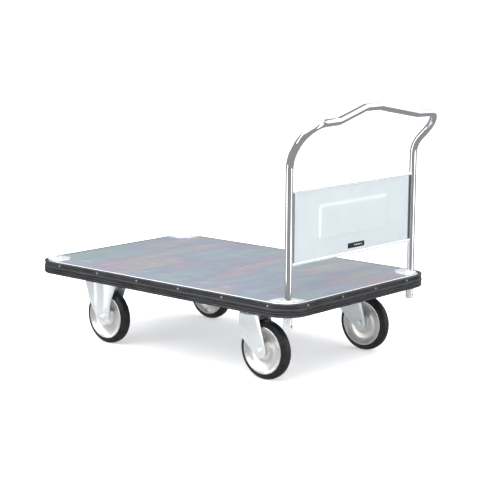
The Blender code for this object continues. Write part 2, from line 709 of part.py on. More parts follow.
def make_wheel(name, parent, place):
    """Tyre, rim and bearing, each with its origin on the axle."""
    across = (0, 1, 0)
    part(f"tyre_{name}", turned_to(turned(tyre_profile(), WHEEL_STEPS), across), LOOKS["tyre"], parent, place)
    part(f"rim_{name}", turned_to(turned(rim_profile(), WHEEL_STEPS), across), LOOKS["rim"], parent, place)
    half = BEARING_HALF_LENGTH
    ring = sleeve(BUSH_RADIUS + GAP, BEARING_RADIUS, -half, half, 20)
    part(f"wheel_bearing_{name}", turned_to(ring, across), LOOKS["bearing"], parent, place)


def hexagon(across_flats):
    return circle(across_flats / math.sqrt(3), 6)


def make_axle(name, outward, parent, place):
    """Bush between the fork legs, bolt from the inner side and nut on the outer side."""
    axis = (0, outward, 0)
    inside = FORK_HALF_WIDTH - FORK_WALL - GAP
    outside = FORK_HALF_WIDTH + GAP
    bush = sleeve(AXLE_RADIUS + GAP, BUSH_RADIUS, -inside, inside, 20)
    part(f"axle_bush_{name}", turned_to(bush, axis), LOOKS["bearing"], parent, place)
    end = outside + BOLT_HEAD_HEIGHT + BOLT_STICK_OUT
    bolt = part(
        f"axle_bolt_{name}",
        turned_to(cylinder(AXLE_RADIUS, -outside - 0.001, end, 16), axis),
        LOOKS["zinc"],
        parent,
        place,
    )
    head = flat_plate([hexagon(BOLT_HEAD_ACROSS)], -outside - BOLT_HEAD_HEIGHT, -outside)
    combine(bolt, turned_to(head, axis), "UNION")
    outlines = [hexagon(BOLT_HEAD_ACROSS), circle(AXLE_RADIUS + GAP, 16)]
    nut = flat_plate(outlines, outside, outside + BOLT_HEAD_HEIGHT)
    part(f"axle_nut_{name}", turned_to(nut, axis), LOOKS["zinc"], parent, place)


def side_cutter(outline):
    """A block as wide as any fork whose side view is the outline, given as (x, z)."""
    mesh = flat_plate([outline], -0.08, 0.08)
    mesh.transform(Matrix.Rotation(math.radians(90), 4, "X"))
    return mesh


def axle_holes():
    return turned_to(cylinder(AXLE_RADIUS + GAP, -0.05, 0.05, 16), (0, 1, 0))


def tangent_angle(point, radius):
    """Directions, in degrees, from the circle's centre to where lines from a point touch it."""
    away = math.degrees(math.atan2(point[1], point[0]))
    spread = math.degrees(math.acos(radius / math.hypot(*point)))
    return away - spread, away + spread


def swivel_fork_outline():
    """Side view about the axle: deep at the front under the crown, tapering to a round end."""
    eye = SWIVEL_EYE_RADIUS
    top = CROWN_TOP - WHEEL_RADIUS + CUT_PAST
    front_low = (-(WHEEL_RADIUS - 0.004), WHEEL_RADIUS - NOSE_HEIGHT_DROP)
    front = -(WHEEL_RADIUS + 2 * CUT_PAST)
    rear_high = (SWIVEL_REAR_X, top)
    first = tangent_angle(front_low, eye)[1]
    last = tangent_angle(rear_high, eye)[0]
    round_end = arc((0, 0), eye, first, last + 360, 12)
    return [(front, top), (front, front_low[1] + 0.006), front_low, *round_end, rear_high]


def fixed_fork_outline():
    """Side view about the axle: wide under the plate, narrow at the neck, round below the axle."""
    top = PLATE_BOTTOM - WHEEL_RADIUS + CUT_PAST
    front, rear = [(x, FIXED_NECK_Z) for x in FIXED_NECK_X]
    first = tangent_angle(front, FIXED_EYE_RADIUS)[1]
    last = tangent_angle(rear, FIXED_EYE_RADIUS)[0]
    round_end = arc((0, 0), FIXED_EYE_RADIUS, first, last + 360, 12)
    return [(FIXED_TOP_X[0], top), front, *round_end, rear, (FIXED_TOP_X[1], top)]


def make_swivel_fork(name, parent, place):
    """Two legs joined round the front, hung from a round crown plate. Its origin is on the swivel axis."""
    half = FORK_HALF_WIDTH - FORK_WALL / 2
    crown_low = CROWN_TOP - FORK_WALL
    nose_x = SWIVEL_TRAIL - WHEEL_RADIUS - NOSE_CLEARANCE + FORK_WALL / 2
    rear_x = SWIVEL_TRAIL + LEG_STRAIGHT
    knee_x = SWIVEL_TRAIL - LEG_STRAIGHT
    corners = [(rear_x, -half), (knee_x, -half), (nose_x, -NOSE_HALF_WIDTH)]
    corners += [(x, -y) for x, y in reversed(corners)]
    path = filleted(corners, (0.020, 0.012, 0.012, 0.020), 4)
    bm = wall(path, WHEEL_RADIUS - LEG_FOOT, crown_low + FORK_WALL / 2)
    mesh = bpy.data.meshes.new("fork")
    bm.to_mesh(mesh)
    bm.free()
    fork = part(f"fork_{name}", mesh, LOOKS["zinc"], parent, place)
    solidify(fork, FORK_WALL, 0.0)
    to_axle = Matrix.Translation((SWIVEL_TRAIL, 0, WHEEL_RADIUS))
    side_view = side_cutter(swivel_fork_outline())
    side_view.transform(to_axle)
    combine(fork, side_view, "INTERSECT")
    crown = cylinder(CROWN_RADIUS, crown_low, CROWN_TOP, 32)
    combine(fork, crown, "UNION")
    bore = cylinder(KINGPIN_RADIUS + KINGPIN_CLEARANCE, crown_low - CUT_PAST, CROWN_TOP + CUT_PAST, 20)
    combine(fork, bore, "DIFFERENCE")
    holes = axle_holes()
    holes.transform(to_axle)
    combine(fork, holes, "DIFFERENCE")


def make_fixed_fork(name, parent, place):
    """Top plate and two straight legs in one pressing."""
    half = FORK_HALF_WIDTH - FORK_WALL / 2
    top = CASTER_TOP
    bend = top - PLATE_THICKNESS / 2
    foot = WHEEL_RADIUS - LEG_FOOT
    path = filleted([(-half, foot), (-half, bend), (half, bend), (half, foot)], (FIXED_BEND, FIXED_BEND), 3)
    bm = wall(path, -LEG_BLANK, LEG_BLANK)
    bmesh.ops.transform(
        bm, verts=bm.verts, matrix=Matrix(((0, 0, 1, 0), (1, 0, 0, 0), (0, 1, 0, 0), (0, 0, 0, 1)))
    )
    mesh = bpy.data.meshes.new("fork")
    bm.to_mesh(mesh)
    bm.free()
    fork = part(f"fork_{name}", mesh, LOOKS["zinc"], parent, place)
    solidify(fork, FORK_WALL, 0.0)
    side_view = side_cutter(fixed_fork_outline())
    side_view.transform(Matrix.Translation((0, 0, WHEEL_RADIUS)))
    combine(fork, side_view, "INTERSECT")
    outline = rounded_rectangle(*FIXED_PLATE, PLATE_CORNER, 4, (FIXED_PLATE_OFFSET, 0))
    plate = flat_plate([outline], PLATE_BOTTOM, top)
    combine(fork, plate, "UNION")
    holes = axle_holes()
    holes.transform(Matrix.Translation((0, 0, WHEEL_RADIUS)))
    combine(fork, holes, "DIFFERENCE")


def make_swivel_mount(name, cart, place):
    """What stays on the deck: top plate, bearing cup and kingpin."""
    plate_outline = rounded_rectangle(*SWIVEL_PLATE, PLATE_CORNER, 4)
    plate = flat_plate([plate_outline], PLATE_BOTTOM, CASTER_TOP)
    part(f"top_plate_{name}", plate, LOOKS["zinc"], cart, place)
    cup = turned(
        [
            (KINGPIN_RADIUS + GAP, PLATE_BOTTOM - GAP),
            (RACE_RADIUS - CUP_SHOULDER, PLATE_BOTTOM - GAP),
            (RACE_RADIUS, PLATE_BOTTOM - GAP - CUP_SHOULDER),
            (RACE_RADIUS, CUP_BOTTOM),
            (KINGPIN_RADIUS + GAP, CUP_BOTTOM),
        ],
        32,
    )
    part(f"bearing_cup_{name}", cup, LOOKS["zinc"], cart, place)
    head_high = CROWN_TOP - FORK_WALL - KINGPIN_HEAD_CLEARANCE
    head_low = head_high - KINGPIN_HEAD_HEIGHT
    pin_top = PLATE_BOTTOM - GAP
    pin = [
        (0, pin_top),
        (KINGPIN_RADIUS, pin_top),
        (KINGPIN_RADIUS, head_high),
        (KINGPIN_HEAD_RADIUS, head_high),
        (KINGPIN_HEAD_RADIUS, head_low),
        (0, head_low),
    ]
    part(f"kingpin_{name}", turned(pin, 20, closed=False), LOOKS["zinc"], cart, place)


def make_casters(cart):
    for side, sign in LEFT_RIGHT.items():
        swivel = f"swivel_{side}"
        mount_place = (SWIVEL_AXLE_X - SWIVEL_TRAIL, sign * CASTER_Y, 0)
        make_swivel_mount(swivel, cart, mount_place)
        pivot = empty(f"pivot_{swivel}", cart, mount_place)
        make_swivel_fork(swivel, pivot, (0, 0, 0))
        race = sleeve(RACE_BORE, RACE_RADIUS - RACE_INSET, CROWN_TOP + GAP, CUP_BOTTOM - GAP, 28)
        part(f"ball_race_{swivel}", race, LOOKS["bearing"], pivot)
        axle_place = (SWIVEL_TRAIL, 0, WHEEL_RADIUS)
        make_axle(swivel, sign, pivot, axle_place)
        make_wheel(swivel, pivot, axle_place)

        fixed = f"fixed_{side}"
        fixed_place = (FIXED_AXLE_X, sign * CASTER_Y, 0)
        make_fixed_fork(fixed, cart, fixed_place)
        axle_place = (FIXED_AXLE_X, sign * CASTER_Y, WHEEL_RADIUS)
        make_axle(fixed, sign, cart, axle_place)
        make_wheel(fixed, cart, axle_place)


def make_cart():
    cart = empty("deck_middle", None, (-MIDDLE_X, 0, 0))
    make_deck(cart)
    make_bumper(cart)
    make_under_frame(cart)
    make_corner_plates(cart)
    make_sockets(cart)
    make_handle(cart)
    make_casters(cart)


clear_scene()
PARTS = new_collection("platform_cart")
CUTTERS = new_collection("cutters")
LOOKS = looks()
make_cart()
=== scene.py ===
import math

import bmesh
import bpy
from mathutils import Matrix, Vector


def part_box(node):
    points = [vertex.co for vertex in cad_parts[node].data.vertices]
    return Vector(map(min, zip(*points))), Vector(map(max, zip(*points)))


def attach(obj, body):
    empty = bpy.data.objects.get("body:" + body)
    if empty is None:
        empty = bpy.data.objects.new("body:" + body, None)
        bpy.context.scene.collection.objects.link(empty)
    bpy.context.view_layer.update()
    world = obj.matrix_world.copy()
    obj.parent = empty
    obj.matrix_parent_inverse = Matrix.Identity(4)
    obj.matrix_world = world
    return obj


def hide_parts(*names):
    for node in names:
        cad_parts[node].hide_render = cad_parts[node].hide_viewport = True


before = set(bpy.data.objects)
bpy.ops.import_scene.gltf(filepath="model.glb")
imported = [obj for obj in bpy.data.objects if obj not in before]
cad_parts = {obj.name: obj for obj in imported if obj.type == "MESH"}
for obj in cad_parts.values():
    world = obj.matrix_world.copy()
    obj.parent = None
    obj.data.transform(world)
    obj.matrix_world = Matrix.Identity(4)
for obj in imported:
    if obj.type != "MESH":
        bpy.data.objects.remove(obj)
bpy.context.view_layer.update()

# Looks of the platform cart: finer shapes in place of the faceted ones, and every finish.
# Metres, +Z up, +X towards the handle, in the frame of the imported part.


def corners_of(node):
    """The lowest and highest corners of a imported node."""
    low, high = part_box(node)
    return Vector(low), Vector(high)


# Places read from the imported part
DECK_LOW, DECK_HIGH = corners_of("deck_plate")
BUMPER_LOW, BUMPER_HIGH = corners_of("bumper")
TUBE_LOW = corners_of("handle_tube")[0]
SOCKET_LOW, SOCKET_HIGH = corners_of("post_socket_right")
PANEL_LOW, PANEL_HIGH = corners_of("handle_panel")
LABEL_LOW, LABEL_HIGH = corners_of("panel_label")

GAP = 0.0003  # between pieces that touch
WELD = 1e-6  # points closer than this are one
SIDES = {"left": -1, "right": 1}

# Deck
RIB_HEIGHT = 0.003
RIB_COUNT = 10
RIB_PITCH = 0.0986
RIB_LENGTH = 0.625
RIB_WIDTH = 0.066
RIB_SLOPE = 0.018
RIB_LIFT = 0.00005  # keeps a rib's foot off the sheet
RIB_STEPS = 8
DECK_TOP = DECK_HIGH.z - RIB_HEIGHT
DECK_MIDDLE = (DECK_LOW.x + DECK_HIGH.x) / 2
DECK_LENGTH = DECK_HIGH.x - DECK_LOW.x
DECK_WIDTH = DECK_HIGH.y - DECK_LOW.y
DECK_CORNER = 0.075
DECK_SHEET = 0.002
DECK_EDGE = 0.005
CORNER_STEPS = 24
# The next two pick the rolled edge's upward faces, which get the lighter painted highlight.
LEVEL_MARGIN = 0.0001  # a face this close to the deck's top is part of its flat
UPWARD = 0.05  # least rise of the normal of a face that looks up

# Bumper
BUMPER_THICKNESS = BUMPER_HIGH.x - DECK_HIGH.x - GAP
BUMPER_BOTTOM = BUMPER_LOW.z
BUMPER_HEIGHT = BUMPER_HIGH.z - BUMPER_LOW.z
BUMPER_SKIN = 0.0001  # keeps the smoothed ribs inside the strip's thickness
BUMPER_BAND = 0.0027  # how far in from the strip's face the band with the rivets lies
RIVET_RADIUS = 0.0040
RIVET_HEIGHT = 0.0019
RIVET_Z = 0.2815
LONG_SIDE_RIVETS = [0.5140 - 0.1970 * k for k in range(6)]  # from the deck's middle
SHORT_SIDE_RIVETS = [-0.2980 + 0.1810 * k for k in range(4)]

# Handle
POST_X = (SOCKET_LOW.x + SOCKET_HIGH.x) / 2
POST_Y = (SOCKET_LOW.y + SOCKET_HIGH.y) / 2
TUBE_RADIUS = 0.0127
TUBE_WALL = 0.0016
POST_BEND = 0.7450
SHOULDER = (0.0958, 0.3690, 0.8595)  # lean from the post line, half width, height
DIP = (0.0958, 0.2155, 0.8630)
CREST = (0.067, 0.0360, 0.8956)
BEND_RADII = {"post": 0.092, "shoulder": 0.072, "dip": 0.076, "crest": 0.040}
SOCKET_RADIUS = 0.0150
COLLAR_RADIUS = 0.0205
PIN_HOLE_RADIUS = 0.0040
PIN_HOLE_Z = 0.2135
PIN_HOLE_REACH = 0.03

# Corner plates
PLATE_SIDE = 0.095
PLATE_THICKNESS = 0.0015
PLATE_MARGIN = 0.007
PLATE_CUT = 0.034
PLATE_FILLET = 0.012
CAP_INSET = 0.034
PLATE_SCREWS = {"front": [(0.038, 0.068), (0.068, 0.038)], "rear": [(0.060, 0.024), (0.024, 0.066)]}
SCREW_RADIUS = 0.0046
SCREW_HEIGHT = 0.0022

# Panel
PANEL_SHEET = 0.0015
PANEL_ROLL = 0.0050
PANEL_BEND = 0.012
PAD_HALF_LENGTH = 0.1925
PAD_LOW, PAD_HIGH = 0.462, 0.592
PAD_CORNER = 0.022
PAD_RISE = 0.003
PAD_SLOPE = 0.018
PAD_STEPS = 8
LABEL_BARS = 5
LABEL_BAR = (0.0050, 0.0026)
LABEL_BAR_PITCH = 0.0090
LABEL_BAR_START = -0.008
LABEL_PRINT = 0.0003

# Wheels and casters
WHEEL_RADIUS = 0.100
RIM_RADIUS = 0.080
HUB_HALF_LENGTH = 0.0235
FORK_HALF_WIDTH = 0.0310
FORK_WALL = 0.0035
SWIVEL_TRAIL = 0.056
PLATE_BOTTOM = 0.2404
CASTER_TOP = 0.2454
CROWN_TOP = 0.2180
CROWN_RADIUS = 0.043
RACE_RADIUS = 0.040
AXLE_RADIUS = 0.0060
BUSH_RADIUS = 0.0095
BEARING_RADIUS = 0.0160
FIXED_TOP_X = (-0.097, 0.075)
FIXED_NECK_X = (-0.070, 0.034)
FIXED_NECK_Z = 0.050
FIXED_EYE_RADIUS = 0.030
FIXED_NECK_FILLET = 0.060
SWIVEL_EYE_RADIUS = 0.0235
SWIVEL_FRONT = -0.120
SWIVEL_CHIN = (-0.0960, 0.0420)
SWIVEL_BACK_X = -0.0125
CROWN_BORE = 0.0085
NOSE_X = -0.0460
NOSE_HALF_WIDTH = 0.0240
AXLE_HOLE_RADIUS = 0.0063
AXLE_HOLE_REACH = 0.05
LEG_BLANK = 0.12
LEG_FOOT = 0.06
LEG_RIBS = (-0.046, 0.004)
LEG_RIB_FOOT = 0.1440
AXLE_HEX = 0.019
AXLE_HEX_HEIGHT = 0.0075
AXLE_TAIL = 0.0115
WASHER_RADIUS = 0.0130
WASHER_THICKNESS = 0.0018
CUP_RISE = 0.007  # from the fork's crown to the foot of the bearing cup
PIN_RADIUS = 0.008
PIN_HEAD_RADIUS = 0.0130
PIN_HEAD_HEIGHT = 0.0075
RACE_BORE = 0.020
PLATE_HEX = 0.013
PLATE_HEX_HEIGHT = 0.0055
PLATE_HEX_INSET = (0.014, 0.013)
PRESSED_EDGE = 0.0006


# Meshes


def mesh_of(bm):
    bmesh.ops.remove_doubles(bm, verts=bm.verts, dist=WELD)
    bmesh.ops.recalc_face_normals(bm, faces=bm.faces)
    mesh = bpy.data.meshes.new("shape")
    bm.to_mesh(mesh)
    bm.free()
    return mesh


def temporary(data):
    obj = bpy.data.objects.new("temporary", data)
    bpy.context.scene.collection.objects.link(obj)
    return obj


def evaluated(obj):
    """The object's mesh with its modifiers or bevel applied; the object goes."""
    graph = bpy.context.evaluated_depsgraph_get()
    mesh = bpy.data.meshes.new_from_object(obj.evaluated_get(graph))
    bpy.data.objects.remove(obj, do_unlink=True)
    bm = bmesh.new()
    bm.from_mesh(mesh)
    bpy.data.meshes.remove(mesh)
    return mesh_of(bm)


def modified(mesh, kind, **settings):
    """The mesh with one modifier applied."""
    obj = temporary(mesh)
    modifier = obj.modifiers.new(kind, kind)
    for name, value in settings.items():
        setattr(modifier, name, value)
    return evaluated(obj)


def boolean(mesh, tool_mesh, operation):
    tool = temporary(tool_mesh)
    made = modified(mesh, "BOOLEAN", object=tool, operation=operation, solver="EXACT")
    bpy.data.objects.remove(tool, do_unlink=True)
    return made


def bevelled(mesh, width, segments=2):
    return modified(
        mesh,
        "BEVEL",
        width=width,
        segments=segments,
        limit_method="ANGLE",
        angle_limit=math.radians(40),
        harden_normals=False,
    )


def curve_mesh(splines, dimensions="3D", cyclic=False, **settings):
    curve = bpy.data.curves.new("outline", "CURVE")
    curve.dimensions = dimensions
    for points in splines:
        spline = curve.splines.new("POLY")
        spline.points.add(len(points) - 1)
        for point, place in zip(spline.points, points):
            point.co = (*place, 0.0, 1.0) if len(place) == 2 else (*place, 1.0)
        spline.use_cyclic_u = cyclic
    for setting, value in settings.items():
        setattr(curve, setting, value)
    return evaluated(temporary(curve))


def flat_plate(outlines, low, high):
    mesh = curve_mesh(outlines, "2D", cyclic=True, fill_mode="BOTH", extrude=(high - low) / 2)
    return moved(mesh, Matrix.Translation((0, 0, (low + high) / 2)))


def moved(mesh, matrix):
    mesh.transform(matrix)
    if matrix.determinant() < 0:
        mesh.flip_normals()
    return mesh


def placed(mesh, x=0.0, y=0.0, z=0.0):
    return moved(mesh, Matrix.Translation((x, y, z)))


def along(mesh, direction):
    """Turns a mesh made about +Z so that it is about a direction along an axis."""
    turn = Vector((0, 0, 1)).rotation_difference(Vector(direction)).to_matrix().to_4x4()
    return moved(mesh, turn)


def together(*meshes):
    bm = bmesh.new()
    for mesh in meshes:
        bm.from_mesh(mesh)
    made = bpy.data.meshes.new("shape")
    bm.to_mesh(made)
    bm.free()
    return made


def arc(centre, radius, start, end, steps):
    angles = [math.radians(start + (end - start) * i / steps) for i in range(steps + 1)]
    return [(centre[0] + radius * math.cos(a), centre[1] + radius * math.sin(a)) for a in angles]


def rounded_rectangle(length, width, radius, steps=8, centre=(0, 0)):
    points = []
    for quarter, (sx, sy) in enumerate([(1, 1), (-1, 1), (-1, -1), (1, -1)]):
        middle = (centre[0] + sx * (length / 2 - radius), centre[1] + sy * (width / 2 - radius))
        points += arc(middle, radius, 90 * quarter, 90 * quarter + 90, steps)
    return points


def filleted(corners, radii, steps=8):
    """A path through the corners with each one rounded to its radius."""
    corners = [Vector(corner) for corner in corners]
    path = [corners[0]]
    for before, corner, after, radius in zip(corners, corners[1:], corners[2:], radii):
        back = (before - corner).normalized()
        ahead = (after - corner).normalized()
        half_angle = back.angle(ahead) / 2
        centre = corner + (back + ahead).normalized() * radius / math.sin(half_angle)
        start = (corner + back * radius / math.tan(half_angle) - centre).normalized()
        end = (corner + ahead * radius / math.tan(half_angle) - centre).normalized()
        path += [centre + start.slerp(end, i / steps) * radius for i in range(steps + 1)]
    path.append(corners[-1])
    return [tuple(point) for point in path]


def loft(rings, cap_end=False, around=False):
    """A skin over rings that have the same number of points."""
    bm = bmesh.new()
    loops = [[bm.verts.new(point) for point in ring] for ring in rings]
    pairs = list(zip(loops, loops[1:]))
    if around:
        pairs.append((loops[-1], loops[0]))
    for first, second in pairs:
        for quad in zip(first, first[1:] + first[:1], second[1:] + second[:1], second):
            bm.faces.new(quad)
    if cap_end:
        bm.faces.new(loops[-1])
    return mesh_of(bm)


def turned(profile, steps=96, closed=True):
    """A ring about Z from a closed loop of (radius, height) points, or a solid from an open one."""
    mesh = bpy.data.meshes.new("profile")
    count = len(profile)
    edges = [(i, (i + 1) % count) for i in range(count if closed else count - 1)]
    mesh.from_pydata([(radius, 0, height) for radius, height in profile], edges, [])
    merge = {"use_merge_vertices": True, "merge_threshold": WELD}
    return modified(mesh, "SCREW", steps=steps, render_steps=steps, **merge)


def pin(radius, reach, steps):
    """A solid round pin about Z, as long either way from z = 0."""
    return turned([(0, reach), (radius, reach), (radius, -reach), (0, -reach)], steps, closed=False)


def smooth_profile(points, steps=4):
    """A rounded line through the points, by Catmull-Rom."""
    points = [Vector(point) for point in points]
    ends = [points[0] * 2 - points[1], *points, points[-1] * 2 - points[-2]]
    line = []
    for a, b, c, d in zip(ends, ends[1:], ends[2:], ends[3:]):
        for i in range(steps):
            t = i / steps
            bend = (2 * a - 5 * b + 4 * c - d) * t**2
            twist = (3 * b - a - 3 * c + d) * t**3
            line.append(0.5 * (2 * b + (c - a) * t + bend + twist))
    return [tuple(point) for point in [*line, points[-1]]]


def mirrored_profile(half):
    """A closed profile from its upper half, which runs from the inside out."""
    return half + [(radius, -height) for radius, height in reversed(half)]


def wall(path, low, high):
    """An upright sheet with no thickness along a path seen from above."""
    bm = bmesh.new()
    corners = [bm.verts.new((x, y, high)) for x, y in path]
    edges = [bm.edges.new(pair) for pair in zip(corners, corners[1:])]
    made = bmesh.ops.extrude_edge_only(bm, edges=edges)["geom"]
    for vert in (item for item in made if isinstance(item, bmesh.types.BMVert)):
        vert.co.z = low
    mesh = bpy.data.meshes.new("wall")
    bm.to_mesh(mesh)
    bm.free()
    return mesh


def solid_wall(path, low, high, thickness):
    sheet = wall(path, low, high)
    return modified(sheet, "SOLIDIFY", thickness=thickness, offset=0.0, use_even_offset=True)


def hexagon(across_flats):
    return arc((0, 0), across_flats / math.sqrt(3), 0, 360, 6)[:-1]


def hex_head(across_flats, low, high):
    """A hexagon head or nut whose outer face is chamfered to a circle."""
    block = flat_plate([hexagon(across_flats)], low, high)
    radius = across_flats / math.sqrt(3)
    chamfer = radius - across_flats / 2
    wide, under = radius + 0.001, low - 0.001
    top = [(0, high), (radius - chamfer * 1.2, high), (wide, high - chamfer * 0.9)]
    cone = turned([*top, (wide, under), (0, under)], 48, closed=False)
    return bevelled(boolean(block, cone, "INTERSECT"), 0.0002, 1)


def dome(radius, height):
    """A rivet or screw head on the plane z = 0, with a short foot below it."""
    foot = 0.0006
    curve_radius = (radius**2 + height**2) / (2 * height)
    sweep = math.degrees(math.asin(radius / curve_radius))
    cap = arc((0, height - curve_radius), curve_radius, 90, 90 - sweep, 6)
    return turned([(0, height), *cap[1:], (radius, -foot), (0, -foot)], 32, closed=False)


def cross_screw(radius, height):
    """A domed screw head with a cross recess."""
    head = dome(radius, height)
    for length, width in ((radius * 1.1, radius * 0.26), (radius * 0.26, radius * 1.1)):
        outline = rounded_rectangle(length, width, radius * 0.1, 2)
        slot = flat_plate([outline], height * 0.35, height * 2)
        head = boolean(head, slot, "DIFFERENCE")
    return head


# Pieces


def piece(name, mesh, look, body, replaces=(), angle=32):
    mesh.name = name
    mesh.materials.clear()
    mesh.materials.append(look)
    mesh.shade_smooth()
    mesh.set_sharp_from_angle(angle=math.radians(angle))
    obj = bpy.data.objects.new(name, mesh)
    bpy.context.scene.collection.objects.link(obj)
    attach(obj, body)
    if replaces:
        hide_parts(*replaces)
    return obj


# Materials


def new_material(name, colour, roughness, metallic=0.0):
    made = bpy.data.materials.new(name)
    made.use_nodes = True
    shader = made.node_tree.nodes["Principled BSDF"]
    shader.inputs["Base Color"].default_value = (*colour, 1)
    shader.inputs["Roughness"].default_value = roughness
    shader.inputs["Metallic"].default_value = metallic
    return made


def add_noise(made, scale, detail=3.0, stretch=(1, 1, 1)):
    """A noise texture over the object's own coordinates, in metres."""
    tree = made.node_tree
    coordinates = tree.nodes.new("ShaderNodeTexCoord")
    mapping = tree.nodes.new("ShaderNodeMapping")
    mapping.inputs["Scale"].default_value = stretch
    noise = tree.nodes.new("ShaderNodeTexNoise")
    noise.inputs["Scale"].default_value = scale
    noise.inputs["Detail"].default_value = detail
    tree.links.new(coordinates.outputs["Object"], mapping.inputs["Vector"])
    tree.links.new(mapping.outputs["Vector"], noise.inputs["Vector"])
    return noise.outputs["Fac"]


def ramp(made, factor, stops):
    node = made.node_tree.nodes.new("ShaderNodeValToRGB")
    elements = node.color_ramp.elements
    for element, (place, colour) in zip(elements, stops):
        element.position = place
        element.color = (*colour, 1)
    for place, colour in stops[2:]:
        element = elements.new(place)
        element.color = (*colour, 1)
    made.node_tree.links.new(factor, node.inputs["Fac"])
    return node.outputs["Color"]


def spread(made, factor, low, high):
    """Maps a noise value, which mostly lies from 0.3 to 0.7, to a range."""
    node = made.node_tree.nodes.new("ShaderNodeMapRange")
    node.inputs["From Min"].default_value = 0.3
    node.inputs["From Max"].default_value = 0.7
    node.inputs["To Min"].default_value = low
    node.inputs["To Max"].default_value = high
    made.node_tree.links.new(factor, node.inputs["Value"])
    return node.outputs["Result"]


def feed(made, value, socket):
    shader = made.node_tree.nodes["Principled BSDF"]
    made.node_tree.links.new(value, shader.inputs[socket])


def add_bump(made, height, strength, distance):
    node = made.node_tree.nodes.new("ShaderNodeBump")
    node.inputs["Strength"].default_value = strength
    node.inputs["Distance"].default_value = distance
    made.node_tree.links.new(height, node.inputs["Height"])
    feed(made, node.outputs["Normal"], "Normal")


def shades(colour, spread_by):
    darker = tuple(value * (1 - spread_by) for value in colour)
    lighter = tuple(min(1.0, value * (1 + spread_by)) for value in colour)
    return [(0.35, darker), (0.65, lighter)]


def finished(name, colour, roughness, metallic, variation, bump, scale):
    """A finish with mottled colour and gloss and a fine bump."""
    made = new_material(name, colour, roughness, metallic)
    mottle = add_noise(made, scale)
    feed(made, ramp(made, mottle, shades(colour, variation)), "Base Color")
    feed(made, spread(made, add_noise(made, scale * 3), roughness * 0.8, roughness * 1.2), "Roughness")
    add_bump(made, add_noise(made, scale * 8, 2), 0.15, bump)
    return made


def deck_finish():
    """Bluish zinc with pink, green and yellow areas, drawn out across the deck along its ribs."""
    made = new_material("deck_zinc", (0.45, 0.50, 0.56), 0.34, 0.45)
    hue = add_noise(made, 3.2, 1.5, (2.4, 0.55, 1))
    # The ramp's own two stops come first, and the rest lie between them.
    colours = [
        (0.30, (0.29, 0.36, 0.35)),
        (0.70, (0.32, 0.36, 0.42)),
        (0.42, (0.31, 0.36, 0.42)),
        (0.50, (0.28, 0.33, 0.40)),
        (0.56, (0.37, 0.32, 0.39)),
        (0.62, (0.36, 0.37, 0.35)),
    ]
    feed(made, ramp(made, hue, colours), "Base Color")
    feed(made, spread(made, add_noise(made, 26, 4, (0.4, 2, 1)), 0.30, 0.42), "Roughness")
    add_bump(made, add_noise(made, 500, 2), 0.35, 0.00001)
    return made


def bumper_finish():
    """Dark rubber with a slight bloom and fine extrusion lines along the strip."""
    made = new_material("bumper_rubber", (0.030, 0.031, 0.034), 0.42)
    bloom = add_noise(made, 14, 3, (1, 1, 6))
    colours = [(0.35, (0.012, 0.012, 0.014)), (0.70, (0.028, 0.029, 0.033))]
    feed(made, ramp(made, bloom, colours), "Base Color")
    feed(made, spread(made, add_noise(made, 9, 3, (1, 1, 20)), 0.34, 0.52), "Roughness")
    add_bump(made, add_noise(made, 30, 2, (1, 1, 60)), 0.35, 0.0003)
    return made


def tyre_finish():
    """Near-black rubber with a fine moulded grain."""
    made = new_material("tyre_rubber", (0.018, 0.019, 0.021), 0.46)
    mottle = add_noise(made, 45, 3)
    colours = [(0.35, (0.006, 0.006, 0.007)), (0.70, (0.015, 0.016, 0.018))]
    feed(made, ramp(made, mottle, colours), "Base Color")
    feed(made, spread(made, add_noise(made, 120), 0.36, 0.56), "Roughness")
    add_bump(made, add_noise(made, 420, 3), 0.5, 0.0002)
    return made


def looks():
    """Every finish by name, each with the detail its surface shows."""
    return {
        "deck": deck_finish(),
        "bumper": bumper_finish(),
        "tyre": tyre_finish(),
        "zinc": finished("bright_zinc", (0.88, 0.91, 0.93), 0.34, 0.60, 0.04, 0.000008, 22),
        "chrome": finished("chrome_plate", (0.88, 0.89, 0.90), 0.055, 1.0, 0.012, 0.000004, 18),
        "rim": finished("rim_steel", (0.94, 0.93, 0.91), 0.36, 0.85, 0.03, 0.000006, 30),
        "bearing": finished("bearing_steel", (0.55, 0.56, 0.58), 0.30, 1.0, 0.08, 0.000006, 60),
        "panel": finished("panel_paint", (0.60, 0.655, 0.68), 0.36, 0.40, 0.015, 0.00001, 9),
        # Painted shade: a dark grey on the sheet's curved ends stands in for the shadow between the
        # panel and the posts.
        "ends_painted_shade": finished("painted_shade_at_sheet_ends", (0.16, 0.17, 0.18), 0.40, 0.45, 0.05, 0.00001, 9),
        # Painted highlight: a lighter colour on the panel's hems and the deck's rolled edge stands in
        # for the light they catch.
        "hem": finished("hem_paint", (0.86, 0.89, 0.90), 0.24, 0.6, 0.015, 0.000008, 12),
        "frame": finished("frame_paint", (0.030, 0.030, 0.033), 0.50, 0.0, 0.2, 0.00012, 30),
        "label": finished("label_black", (0.008, 0.008, 0.009), 0.32, 0.0, 0.1, 0.00002, 60),
        "label_print": finished("label_white", (0.85, 0.85, 0.86), 0.40, 0.0, 0.02, 0.00002, 60),
        "rivet": finished("rivet_aluminium", (0.30, 0.31, 0.33), 0.40, 0.6, 0.1, 0.00001, 90),
    }


# Deck and bumper


def deck_ring(inset, z):
    """The deck's outline drawn in by the inset, at a height."""
    length, width = DECK_LENGTH - 2 * inset, DECK_WIDTH - 2 * inset
    outline = rounded_rectangle(length, width, DECK_CORNER - inset, CORNER_STEPS, (DECK_MIDDLE, 0))
    return [(x, y, z) for x, y in outline]


